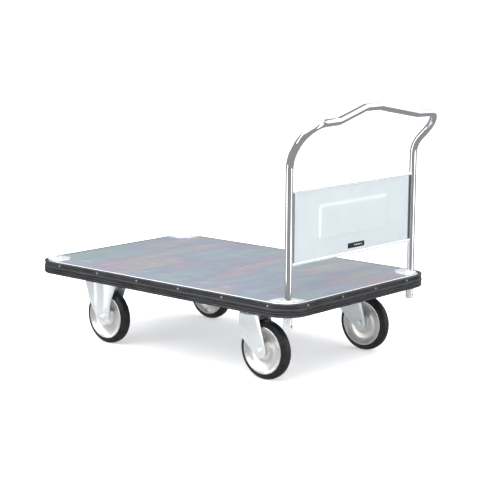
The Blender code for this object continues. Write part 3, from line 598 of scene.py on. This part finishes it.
def make_deck():
    """The sheet with its rolled edge, and the pressed ribs as soft-sided raised strips on it."""
    rings = [deck_ring(0, DECK_LOW.z), deck_ring(0, DECK_TOP - DECK_EDGE)]
    for out, up in arc((0, 0), DECK_EDGE, 0, 90, 6)[1:]:
        rings.append(deck_ring(DECK_EDGE - out, DECK_TOP - DECK_EDGE + up))
    sheet = modified(loft(rings, cap_end=True), "SOLIDIFY", thickness=DECK_SHEET, offset=-1.0)
    ribs = [make_rib(k) for k in range(RIB_COUNT)]
    deck = piece("deck_sheet", together(sheet, *ribs), LOOKS["deck"], "chassis", ["deck_plate"])
    # Upward faces of the rolled edge get the lighter finish, a painted highlight.
    deck.data.materials.append(LOOKS["hem"])
    for face in deck.data.polygons:
        rolled = DECK_TOP - DECK_EDGE < face.center.z < DECK_TOP - LEVEL_MARGIN
        if rolled and face.normal.z > UPWARD:
            face.material_index = 1


def make_rib(index):
    x = DECK_MIDDLE + (index - (RIB_COUNT - 1) / 2) * RIB_PITCH
    rings = []
    for step in range(RIB_STEPS + 1):
        inset = RIB_SLOPE * step / RIB_STEPS
        rise = RIB_HEIGHT * (1 - math.cos(math.pi * step / RIB_STEPS)) / 2
        width, length = RIB_WIDTH - 2 * inset, RIB_LENGTH - 2 * inset
        outline = rounded_rectangle(width, length, RIB_WIDTH / 2 - 0.001 - inset, 10, (x, 0))
        rings.append([(px, py, DECK_TOP + rise + RIB_LIFT) for px, py in outline])
    return loft(rings, cap_end=True)


def bumper_profile():
    """Section of the strip, out from the deck and up from its foot: three ribs, a band and a lip."""
    out, up = BUMPER_THICKNESS, BUMPER_HEIGHT
    ribs = smooth_profile(
        [
            (out - 0.0024, 0.0000),
            (out - 0.0004, 0.0024),
            (out - 0.0004, 0.0062),
            (out - 0.0032, 0.0086),
            (out - 0.0008, 0.0108),
            (out - 0.0008, 0.0142),
            (out - 0.0032, 0.0166),
            (out - 0.0002, 0.0190),
            (out, 0.0222),
            (out - 0.0002, 0.0252),
            (out - 0.0032, 0.0280),
            (out - 0.0026, 0.0300),
            (out - 0.0024, 0.0340),
            (out - 0.0030, up - 0.0055),
            (out - 0.0012, up - 0.0038),
            (out - 0.0006, up - 0.0020),
            (out - 0.0020, up - 0.0004),
        ],
        3,
    )
    ribs = [(min(across, out - BUMPER_SKIN), height) for across, height in ribs]
    return [(0, 0), *ribs, (out - 0.0040, up), (0.0004, up), (0, up - 0.0008)]


def make_bumper():
    rings = [deck_ring(-(out + GAP), BUMPER_BOTTOM + up) for out, up in bumper_profile()]
    piece("bumper_strip", loft(rings, around=True), LOOKS["bumper"], "chassis", ["bumper"], 50)
    band = BUMPER_THICKNESS - BUMPER_BAND + GAP
    rivets = []
    for x in LONG_SIDE_RIVETS:
        for sign in SIDES.values():
            rivets.append((DECK_MIDDLE + x, sign * (DECK_WIDTH / 2 + band), (0, sign, 0)))
    for y in SHORT_SIDE_RIVETS:
        for sign in SIDES.values():
            rivets.append((DECK_MIDDLE + sign * (DECK_LENGTH / 2 + band), y, (sign, 0, 0)))
    heads = []
    for x, y, facing in rivets:
        heads.append(placed(along(dome(RIVET_RADIUS, RIVET_HEIGHT), facing), x, y, RIVET_Z))
    piece("bumper_rivets", together(*heads), LOOKS["rivet"], "chassis")


def plate_outline():
    """Edge of a corner plate, with the deck's corner at the origin and the deck towards -X and -Y."""
    edge, far, cut = PLATE_MARGIN, PLATE_SIDE, PLATE_CUT
    radius = DECK_CORNER - edge
    corner = arc((-edge - radius, -edge - radius), radius, 0, 90, 16)
    inner = [(-far, -edge), (-far, -far + cut), (-far + cut, -far), (-edge, -far)]
    return corner + filleted(inner, (PLATE_FILLET, PLATE_FILLET), 6)


def make_corner_plates():
    for end, toward in {"front": -1, "rear": 1}.items():
        for side, sign in SIDES.items():
            plate = bevelled(flat_plate([plate_outline()], 0, PLATE_THICKNESS), 0.0005)
            flip = Matrix.Diagonal((toward, sign, 1, 1))
            spot = placed(moved(plate, flip), *corner_place(toward, sign), DECK_TOP + GAP)
            name = f"corner_plate_{end}_{side}"
            piece(f"{name}_shape", spot, LOOKS["zinc"], "chassis", [name])
            details = []
            if end == "front":
                details.append(placed(boss(), *corner_spot(toward, sign, CAP_INSET, CAP_INSET), 0))
            for insets in PLATE_SCREWS[end]:
                place = corner_spot(toward, sign, *insets)
                details.append(placed(cross_screw(SCREW_RADIUS, SCREW_HEIGHT), *place, 0))
            heads = placed(together(*details), 0, 0, DECK_TOP + GAP + PLATE_THICKNESS)
            piece(f"{name}_screws", heads, LOOKS["zinc"], "chassis")


def corner_place(toward, sign):
    return DECK_MIDDLE + toward * DECK_LENGTH / 2, sign * DECK_WIDTH / 2


def corner_spot(toward, sign, inset_x, inset_y):
    x, y = corner_place(toward, sign)
    return x - toward * inset_x, y - sign * inset_y


def boss():
    """The closed cap over a corner's unused post hole."""
    dished = [(0, 0.0016), (0.0120, 0.0016), (0.0135, 0.0026)]
    rim = [(0.0155, 0.0026), (0.0175, 0.0010), (0.0185, -0.0002)]
    return turned([*dished, *rim, (0, -0.0002)], 48, closed=False)


# Handle


def handle_path():
    """The tube's line from the right post's foot, over the bar, to the left post's foot."""
    foot = (0, POST_Y, TUBE_LOW.z)
    half = [foot, (0, POST_Y, POST_BEND), SHOULDER, DIP, CREST]
    right = [(x, y, z) for x, y, z in reversed(half)]
    left = [(x, -y, z) for x, y, z in half]
    radii = [BEND_RADII[name] for name in ("post", "shoulder", "dip", "crest")]
    return [(POST_X + x, y, z) for x, y, z in filleted(left + right, radii + radii[::-1], 14)]


def pin_hole():
    hole = pin(PIN_HOLE_RADIUS, PIN_HOLE_REACH, 24)
    return placed(along(hole, (1, 0, 0)), 0, 0, PIN_HOLE_Z)


def make_handle():
    round_tube = {"bevel_depth": TUBE_RADIUS, "bevel_resolution": 14, "use_fill_caps": False}
    tube = curve_mesh([handle_path()], **round_tube)
    tube = modified(tube, "SOLIDIFY", thickness=TUBE_WALL, offset=-1.0)
    for sign in SIDES.values():
        tube = boolean(tube, placed(pin_hole(), POST_X, sign * POST_Y), "DIFFERENCE")
    piece("handle_bar", tube, LOOKS["chrome"], "handle", ["handle_tube"])
    for side, sign in SIDES.items():
        make_socket(side, sign)


def make_socket(side, sign):
    bore = TUBE_RADIUS + GAP
    low, high = SOCKET_LOW.z, SOCKET_HIGH.z
    seat = DECK_TOP + 2 * GAP + PLATE_THICKNESS
    profile = [
        (bore, high - 0.0006),
        (bore + 0.0006, high),
        (SOCKET_RADIUS + 0.0012, high),
        (SOCKET_RADIUS + 0.0022, high - 0.0008),
        (COLLAR_RADIUS - 0.0006, seat + 0.0012),
        (COLLAR_RADIUS, seat + 0.0006),
        (COLLAR_RADIUS, seat),
        (SOCKET_RADIUS, seat),
        (SOCKET_RADIUS, low + 0.0005),
        (SOCKET_RADIUS - 0.0005, low),
        (bore, low),
    ]
    socket = boolean(turned(profile, 64), pin_hole(), "DIFFERENCE")
    name = f"post_socket_{side}"
    socket = placed(socket, POST_X, sign * POST_Y)
    piece(f"{name}_shape", socket, LOOKS["zinc"], "chassis", [name])


def pressed_sheet(face, flat, low, high):
    """The panel's flat sheet, from its outer edge in to the raised pad."""
    middle = (PAD_LOW + PAD_HIGH) / 2
    offset = middle - (low + high) / 2
    edge = rounded_rectangle(high - low, 2 * flat, 0.0002, 8)
    rings = [[(face, y, middle + (x - offset)) for x, y in edge]]
    for step in range(PAD_STEPS + 1):
        inset = PAD_SLOPE * step / PAD_STEPS
        rise = PAD_RISE * (1 - math.cos(math.pi * step / PAD_STEPS)) / 2
        width, length = PAD_HIGH - PAD_LOW - 2 * inset, 2 * PAD_HALF_LENGTH - 2 * inset
        ring = rounded_rectangle(width, length, PAD_CORNER - inset, 8)
        rings.append([(face + rise, y, middle + x) for x, y in ring])
    return modified(loft(rings, cap_end=True), "SOLIDIFY", thickness=PANEL_SHEET, offset=0.0)


def make_panel():
    """A sheet with a pressed rectangle, ends curved back, rolled long edges, and a label."""
    face = PANEL_SHEET / 2 + POST_X
    half = PANEL_HIGH.y
    low, high = PANEL_LOW.z + PANEL_ROLL, PANEL_HIGH.z - PANEL_ROLL
    flat = half - PANEL_BEND - PANEL_SHEET
    sheet = pressed_sheet(face, flat, low, high)
    ends = []
    for sign in SIDES.values():
        side = sign * (half - PANEL_SHEET / 2)
        corner = [(face, sign * flat), (face, side), (PANEL_LOW.x + PANEL_SHEET / 2, side)]
        ends.append(solid_wall(filleted(corner, (PANEL_BEND,), 12), low, high, PANEL_SHEET))
    reach = half - 0.001
    roll = {"bevel_depth": PANEL_ROLL, "bevel_resolution": 8, "use_fill_caps": True}
    rolls = [curve_mesh([[(face, -reach, z), (face, reach, z)]], **roll) for z in (low, high)]
    piece("handle_sheet", sheet, LOOKS["panel"], "handle", ["handle_panel"])
    # The curved ends carry the dark painted shade, not a paint of their own.
    piece("handle_sheet_ends", together(*ends), LOOKS["ends_painted_shade"], "handle")
    # The hems carry the lighter painted highlight.
    piece("handle_hems", together(*rolls), LOOKS["hem"], "handle")
    make_label()


def make_label():
    """A black label with small plain blocks where print would be."""
    y, z = (LABEL_LOW.y + LABEL_HIGH.y) / 2, (LABEL_LOW.z + LABEL_HIGH.z) / 2
    length, height = LABEL_HIGH.y - LABEL_LOW.y, LABEL_HIGH.z - LABEL_LOW.z
    back, front = LABEL_LOW.x - GAP, LABEL_HIGH.x

    def plate(long, tall, low, high, shift=0.0):
        mesh = flat_plate([rounded_rectangle(tall, long, 0.001, 3)], 0, high - low)
        upright = Matrix(((0, 0, 1, 0), (0, 1, 0, 0), (-1, 0, 0, 0), (0, 0, 0, 1)))
        return placed(moved(mesh, upright), low, y + shift, z)

    base = plate(length, height, back, front - 0.0002)
    piece("label_base", base, LOOKS["label"], "handle", ["panel_label"])
    shifts = [LABEL_BAR_START + LABEL_BAR_PITCH * k for k in range(LABEL_BARS)]
    bars = [plate(*LABEL_BAR, front - LABEL_PRINT, front, shift) for shift in shifts]
    piece("label_print", together(*bars), LOOKS["label_print"], "handle")


# Casters


def tyre_profile():
    """Closed section of the tyre as (radius, height along the axle)."""
    half = [
        (RIM_RADIUS + GAP, 0.0204),
        (RIM_RADIUS + 0.0010, 0.0210),
        (RIM_RADIUS + 0.0035, 0.0212),
        (RIM_RADIUS + 0.0055, 0.0206),
        (RIM_RADIUS + 0.0070, 0.0190),
        (RIM_RADIUS + 0.0150, 0.0136),
        (RIM_RADIUS + 0.0164, 0.0128),
        (RIM_RADIUS + 0.0178, 0.0116),
        (RIM_RADIUS + 0.0188, 0.0098),
        (RIM_RADIUS + 0.0195, 0.0060),
        (RIM_RADIUS + 0.0200, 0.0015),
    ]
    return mirrored_profile(half)


def rim_profile():
    """Hub, deep dish and rolled rim, the same on both faces."""
    dish = smooth_profile(
        [
            (0.0275, 0.0125),
            (0.0310, 0.0070),
            (0.0400, 0.0048),
            (0.0500, 0.0052),
            (0.0600, 0.0074),
            (0.0690, 0.0122),
            (0.0740, 0.0168),
            (0.0762, 0.0196),
        ],
        4,
    )
    hub = [
        (BEARING_RADIUS + GAP, HUB_HALF_LENGTH - 0.0015),
        (BEARING_RADIUS + 0.0012, HUB_HALF_LENGTH),
        (0.0235, HUB_HALF_LENGTH),
        (0.0247, HUB_HALF_LENGTH - 0.0012),
    ]
    lip = [(0.0770, 0.0206), (0.0788, 0.0208), (RIM_RADIUS, 0.0202)]
    back = [(RIM_RADIUS, 0.0160), (0.0700, 0.0040)]
    return mirrored_profile(hub + dish + lip + back)


def make_wheel(name, x, y):
    body = f"wheel_{name}"
    for kind, profile in {"tyre": tyre_profile(), "rim": rim_profile()}.items():
        mesh = placed(along(turned(profile, 128), (0, 1, 0)), x, y, WHEEL_RADIUS)
        piece(f"{kind}_{name}_shape", mesh, LOOKS[kind], body, [f"{kind}_{name}"], 40)
    half = HUB_HALF_LENGTH + 0.001
    seal = mirrored_profile(
        [
            (BUSH_RADIUS + GAP, half - 0.0006),
            (BUSH_RADIUS + 0.0016, half),
            (BUSH_RADIUS + 0.0030, half - 0.0008),
            (BEARING_RADIUS - 0.0020, half - 0.0008),
            (BEARING_RADIUS - 0.0012, half),
            (BEARING_RADIUS, half - 0.0004),
        ]
    )
    ring = placed(along(turned(seal, 64), (0, 1, 0)), x, y, WHEEL_RADIUS)
    node = f"wheel_bearing_{name}"
    piece(f"{node}_shape", ring, LOOKS["bearing"], body, [node])


def make_axle(name, outward, body, x, y):
    """Bolt with a chamfered head inside, nut with a washer outside, and the bush between."""
    axis = (0, outward, 0)
    leg = FORK_HALF_WIDTH + GAP

    def set_in_place(mesh):
        return placed(along(mesh, axis), x, y, WHEEL_RADIUS)

    end = leg + AXLE_TAIL
    shank = [(0, end), (AXLE_RADIUS - 0.0010, end), (AXLE_RADIUS, end - 0.0010)]
    shank += [(AXLE_RADIUS, -leg), (0, -leg)]
    head = along(hex_head(AXLE_HEX, leg, leg + AXLE_HEX_HEIGHT), (0, 0, -1))
    bolt = together(turned(shank, 48, closed=False), head)
    piece(f"axle_bolt_{name}_shape", set_in_place(bolt), LOOKS["zinc"], body, [f"axle_bolt_{name}"])
    bore, face = AXLE_RADIUS + GAP, leg + WASHER_THICKNESS
    washer = [(bore, face), (WASHER_RADIUS - 0.0008, face), (WASHER_RADIUS, face - 0.0008)]
    washer = turned([*washer, (WASHER_RADIUS, leg), (bore, leg)], 48)
    nut = together(washer, hex_head(AXLE_HEX, face - 0.0001, leg + AXLE_HEX_HEIGHT))
    piece(f"axle_nut_{name}_shape", set_in_place(nut), LOOKS["zinc"], body, [f"axle_nut_{name}"])
    inside = FORK_HALF_WIDTH - FORK_WALL - GAP
    bush = [(BUSH_RADIUS, inside), (BUSH_RADIUS, -inside), (bore, -inside), (bore, inside)]
    bush = set_in_place(turned(bush, 48))
    piece(f"axle_bush_{name}_shape", bush, LOOKS["bearing"], body, [f"axle_bush_{name}"])


def tangent_angle(point, radius):
    """Angles where the two tangents from a point touch a circle about the origin."""
    away = math.degrees(math.atan2(point[1], point[0]))
    reach = math.degrees(math.acos(radius / math.hypot(*point)))
    return away - reach, away + reach


def side_block(outline):
    """A wide block whose side view, as (x, z) from the axle, is the outline."""
    block = flat_plate([outline], -0.08, 0.08)
    return placed(moved(block, Matrix.Rotation(math.radians(90), 4, "X")), 0, 0, WHEEL_RADIUS)


def swivel_fork_outline():
    """Side view of the swivel fork's leg, from past its front round the eye to its back."""
    crown = CROWN_TOP - WHEEL_RADIUS + 0.01
    back = (SWIVEL_BACK_X, crown)
    first = tangent_angle(SWIVEL_CHIN, SWIVEL_EYE_RADIUS)[1]
    last = tangent_angle(back, SWIVEL_EYE_RADIUS)[0]
    round_end = arc((0, 0), SWIVEL_EYE_RADIUS, first, last + 360, 28)
    front = [(SWIVEL_FRONT, crown), (SWIVEL_FRONT, SWIVEL_CHIN[1] + 0.006), SWIVEL_CHIN]
    front = filleted([*front, round_end[0]], (0.002, 0.010), 5)
    return [*front, *round_end[1:], back]


def fixed_fork_outline():
    """Side view of the fixed fork's leg: wide at the plate, a neck, and the eye."""
    top = PLATE_BOTTOM - WHEEL_RADIUS + 0.003
    front, rear = [(x, FIXED_NECK_Z) for x in FIXED_NECK_X]
    first = tangent_angle(front, FIXED_EYE_RADIUS)[1]
    last = tangent_angle(rear, FIXED_EYE_RADIUS)[0]
    round_end = arc((0, 0), FIXED_EYE_RADIUS, first, last + 360, 28)
    left = filleted([(FIXED_TOP_X[0], top), front, round_end[0]], (FIXED_NECK_FILLET,), 6)
    right = filleted([round_end[-1], rear, (FIXED_TOP_X[1], top)], (FIXED_NECK_FILLET,), 6)
    return [*left, *round_end[1:-1], *right]


def make_swivel_fork(name, pivot_x, y):
    """Two legs joined by a nose in one bent wall, cut to the side view, with a round crown on top."""
    half = FORK_HALF_WIDTH - FORK_WALL / 2
    crown_low = CROWN_TOP - FORK_WALL
    corners = [(SWIVEL_TRAIL + 0.040, -half), (SWIVEL_TRAIL - 0.040, -half)]
    corners.append((NOSE_X + FORK_WALL / 2, -NOSE_HALF_WIDTH))
    corners += [(x, -y_) for x, y_ in reversed(corners)]
    path = filleted(corners, (0.020, 0.012, 0.012, 0.020), 10)
    fork = solid_wall(path, WHEEL_RADIUS - 0.03, crown_low + FORK_WALL / 2, FORK_WALL)
    fork = boolean(fork, placed(side_block(swivel_fork_outline()), SWIVEL_TRAIL), "INTERSECT")
    crown = [(CROWN_BORE, CROWN_TOP), (CROWN_RADIUS - 0.001, CROWN_TOP)]
    crown += [(CROWN_RADIUS, CROWN_TOP - 0.001), (CROWN_RADIUS, crown_low), (CROWN_BORE, crown_low)]
    fork = boolean(fork, turned(crown, 96), "UNION")
    fork = boolean(fork, axle_holes(SWIVEL_TRAIL), "DIFFERENCE")
    fork = placed(bevelled(fork, PRESSED_EDGE), pivot_x, y)
    piece(f"fork_{name}_shape", fork, LOOKS["zinc"], name, [f"fork_{name}"])


def axle_holes(x):
    return placed(along(pin(AXLE_HOLE_RADIUS, AXLE_HOLE_REACH, 32), (0, 1, 0)), x, 0, WHEEL_RADIUS)


def make_fixed_fork(name, x, y):
    """A bent strap cut to the side view, with pressed ribs, under its plate."""
    half = FORK_HALF_WIDTH - FORK_WALL / 2
    bend = CASTER_TOP - 0.0025
    corners = [(-half, LEG_FOOT), (-half, bend), (half, bend), (half, LEG_FOOT)]
    legs = solid_wall(filleted(corners, (0.008, 0.008), 8), -LEG_BLANK, LEG_BLANK, FORK_WALL)
    legs = moved(legs, Matrix(((0, 0, 1, 0), (1, 0, 0, 0), (0, 1, 0, 0), (0, 0, 0, 1))))
    fork = boolean(legs, side_block(fixed_fork_outline()), "INTERSECT")
    for sign in SIDES.values():
        for rib_x in LEG_RIBS:
            fork = boolean(fork, leg_rib(rib_x, sign), "UNION")
    fork = boolean(fork, axle_holes(0), "DIFFERENCE")
    low, high = corners_of(f"fork_{name}")
    centre = ((low.x + high.x) / 2 - x, 0)
    outline = rounded_rectangle(high.x - low.x, high.y - low.y, 0.010, 8, centre)
    plate = flat_plate([outline], PLATE_BOTTOM, CASTER_TOP)
    fork = together(bevelled(fork, PRESSED_EDGE), bevelled(plate, PRESSED_EDGE))
    piece(f"fork_{name}_shape", placed(fork, x, y), LOOKS["zinc"], "chassis", [f"fork_{name}"])


def leg_rib(x, sign):
    """A pressed upright rib on a leg's outer face, low and rounded."""
    crest = arc((0, -0.0100), 0.0120, 35, 145, 10)
    outline = [*crest, (crest[-1][0], -0.0115), (crest[0][0], -0.0115)]
    rib = flat_plate([outline], LEG_RIB_FOOT, PLATE_BOTTOM + 0.002)
    if sign < 0:
        rib = moved(rib, Matrix.Rotation(math.pi, 4, "Z"))
    return placed(rib, x, sign * (FORK_HALF_WIDTH - 0.0008), 0)


def make_swivel_mount(name, x, y):
    """Pressed bearing cup, ball race and riveted kingpin."""
    low = CROWN_TOP + CUP_RISE
    top = PLATE_BOTTOM - GAP
    shoulder = [(RACE_RADIUS - 0.008, top), (RACE_RADIUS - 0.0035, top - 0.002)]
    shoulder = smooth_profile([*shoulder, (RACE_RADIUS - 0.0006, top - 0.006)], 5)
    bore = PIN_RADIUS + GAP
    cup = [(bore, top), *shoulder, (RACE_RADIUS, top - 0.009), (RACE_RADIUS, low + 0.001)]
    cup += [(RACE_RADIUS - 0.001, low), (bore, low)]
    node = f"bearing_cup_{name}"
    piece(f"{node}_shape", placed(turned(cup, 80), x, y), LOOKS["zinc"], "chassis", [node])
    head_high = CROWN_TOP - FORK_WALL - 0.0008
    head_low = head_high - PIN_HEAD_HEIGHT
    kingpin = [(0, top), (PIN_RADIUS, top), (PIN_RADIUS, head_high), (PIN_HEAD_RADIUS, head_high)]
    kingpin += [(PIN_HEAD_RADIUS, head_low + 0.003), (0.0105, head_low + 0.0006)]
    kingpin = turned([*kingpin, (PIN_RADIUS, head_low), (0, head_low)], 48, closed=False)
    node = f"kingpin_{name}"
    piece(f"{node}_shape", placed(kingpin, x, y), LOOKS["zinc"], "chassis", [node])
    race_low, race_high = CROWN_TOP + GAP, low - GAP
    edge, face = RACE_RADIUS - 0.004, RACE_RADIUS - 0.003
    race = [(RACE_BORE, race_high), (edge, race_high), (face, race_high - 0.001)]
    race += [(face, race_low + 0.001), (edge, race_low), (RACE_BORE, race_low)]
    node = f"ball_race_{name}"
    piece(f"{node}_shape", placed(turned(race, 64), x, y), LOOKS["bearing"], name, [node])


def make_plate_bolts(name, plate_node):
    """A bolt head with its washer under each corner of a caster's plate."""
    low, high = corners_of(plate_node)
    middle, half = (low + high) / 2, (high - low) / 2
    rim = [(0.0045, 0.0012), (0.0100, 0.0012), (0.0105, 0.0006), (0.0105, -0.0002), (0.0045, -0.0002)]
    inset_x, inset_y = PLATE_HEX_INSET
    bolts = []
    for sx in (-1, 1):
        for sy in (-1, 1):
            head = together(hex_head(PLATE_HEX, 0, PLATE_HEX_HEIGHT), turned(rim, 40))
            place = (middle.x + sx * (half.x - inset_x), middle.y + sy * (half.y - inset_y))
            bolts.append(placed(along(head, (0, 0, -1)), *place, PLATE_BOTTOM - 0.0002))
    piece(f"plate_bolts_{name}", together(*bolts), LOOKS["zinc"], "chassis")


def wheel_place(name):
    low, high = corners_of(f"tyre_{name}")
    return (low.x + high.x) / 2, (low.y + high.y) / 2


def make_casters():
    for side, sign in SIDES.items():
        name = f"swivel_{side}"
        x, y = wheel_place(name)
        pivot_x = x - SWIVEL_TRAIL
        make_swivel_fork(name, pivot_x, y)
        make_swivel_mount(name, pivot_x, y)
        make_axle(name, sign, name, x, y)
        make_wheel(name, x, y)
        make_plate_bolts(name, f"top_plate_{name}")

        name = f"fixed_{side}"
        x, y = wheel_place(name)
        make_fixed_fork(name, x, y)
        make_axle(name, sign, "chassis", x, y)
        make_wheel(name, x, y)
        make_plate_bolts(name, f"fork_{name}")


def finish_kept_nodes():
    """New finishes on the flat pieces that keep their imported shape."""
    kept = {"rail_left": "frame", "rail_right": "frame"}
    kept.update({f"cross_member_{place}": "frame" for place in ("front", "middle", "rear")})
    kept.update({f"top_plate_swivel_{side}": "zinc" for side in SIDES})
    for node, look in kept.items():
        obj = bpy.data.objects[node]
        obj.data.materials.clear()
        obj.data.materials.append(LOOKS[look])


# Floor, light and camera

FLOOR_HALF = 900.0
FLOOR_SHADE = 0.93
FLOOR_GLOW = 0.45  # lifts the shadow under the cart
ROOM_COLOUR = (0.97, 0.985, 1, 1)
ROOM_STRENGTH = 0.31
SOFT_BOXES = {  # place, what it faces, size, power
    "top_box": ((0.4, -0.6, 3.6), (0, 0, 0.3), (4.5, 4.5), 90),
    "front_box": ((2.9, -3.3, 3.6), (0, 0, 0.5), (5.5, 2.6), 62),
    "far_box": ((1.5, 3.6, 2.4), (0, 0, 0.5), (5.0, 3.4), 58),
    "left_box": ((-1.6, -4.2, 1.5), (0, 0, 0.5), (1.2, 4.4), 60),
    "right_box": ((4.4, 0.9, 1.5), (0, 0, 0.5), (1.2, 4.4), 60),
}
CAMERA_PLACE = (3.3801, -3.7758, 1.2570)  # from the middle of the deck
CAMERA_YAW = 130.999
CAMERA_PITCH = 10.172
CAMERA_ROLL = 0.353
CAMERA_LENS = 103.19
CAMERA_SENSOR = 36
CAMERA_REACH = 4000  # far enough for the floor's horizon


def make_floor():
    bm = bmesh.new()
    bmesh.ops.create_grid(bm, x_segments=1, y_segments=1, size=FLOOR_HALF)
    mesh = bpy.data.meshes.new("floor")
    bm.to_mesh(mesh)
    bm.free()
    floor = bpy.data.objects.new("floor", mesh)
    bpy.context.scene.collection.objects.link(floor)
    paper = new_material("floor_paper", (FLOOR_SHADE, FLOOR_SHADE, FLOOR_SHADE), 0.9)
    shader = paper.node_tree.nodes["Principled BSDF"]
    shader.inputs["Emission Color"].default_value = (1, 1, 1, 1)
    shader.inputs["Emission Strength"].default_value = FLOOR_GLOW
    mesh.materials.append(paper)
    floor.visible_glossy = False


def area_light(name, place, target, size, power):
    light = bpy.data.lights.new(name, "AREA")
    light.shape = "RECTANGLE"
    light.size, light.size_y = size
    light.energy = power
    obj = bpy.data.objects.new(name, light)
    obj.location = place
    obj.visible_camera = False
    aim = Vector(target) - Vector(place)
    obj.rotation_euler = aim.to_track_quat("-Z", "Y").to_euler()
    bpy.context.scene.collection.objects.link(obj)


def sun(name, aim, strength, spread_by):
    light = bpy.data.lights.new(name, "SUN")
    light.energy = strength
    light.angle = math.radians(spread_by)
    obj = bpy.data.objects.new(name, light)
    obj.rotation_euler = Vector(aim).to_track_quat("-Z", "Y").to_euler()
    bpy.context.scene.collection.objects.link(obj)


def make_lights():
    """A grey room, a wide sun that whitens the floor, and soft boxes above and around the cart."""
    world = bpy.data.worlds.new("studio")
    world.use_nodes = True
    background = world.node_tree.nodes["Background"]
    background.inputs["Color"].default_value = ROOM_COLOUR
    background.inputs["Strength"].default_value = ROOM_STRENGTH
    bpy.context.scene.world = world
    sun("key", (0.15, 0.25, -1), 3.3, 95)
    for name, setting in SOFT_BOXES.items():
        area_light(name, *setting)


def make_camera():
    """A camera set by its place, heading, downward tilt and roll."""
    yaw, pitch, roll = (math.radians(a) for a in (CAMERA_YAW, CAMERA_PITCH, CAMERA_ROLL))
    ahead = Vector((math.cos(pitch) * math.cos(yaw), math.cos(pitch) * math.sin(yaw), -math.sin(pitch)))
    right = Vector((math.sin(yaw), -math.cos(yaw), 0))
    up = right.cross(ahead)
    level_right = right * math.cos(roll) + up * math.sin(roll)
    level_up = up * math.cos(roll) - right * math.sin(roll)
    data = bpy.data.cameras.new("camera")
    data.lens = CAMERA_LENS
    data.sensor_width = CAMERA_SENSOR
    data.clip_end = CAMERA_REACH
    camera = bpy.data.objects.new("camera", data)
    turn = Matrix((level_right, level_up, -ahead)).transposed().to_4x4()
    place = Vector(CAMERA_PLACE) + Vector((DECK_MIDDLE, 0, 0))
    camera.matrix_world = Matrix.Translation(place) @ turn
    bpy.context.scene.collection.objects.link(camera)
    bpy.context.scene.camera = camera


bpy.context.scene.view_settings.view_transform = "Standard"
LOOKS = looks()
make_deck()
make_bumper()
make_corner_plates()
make_handle()
make_panel()
make_casters()
finish_kept_nodes()
make_floor()
make_lights()
make_camera()
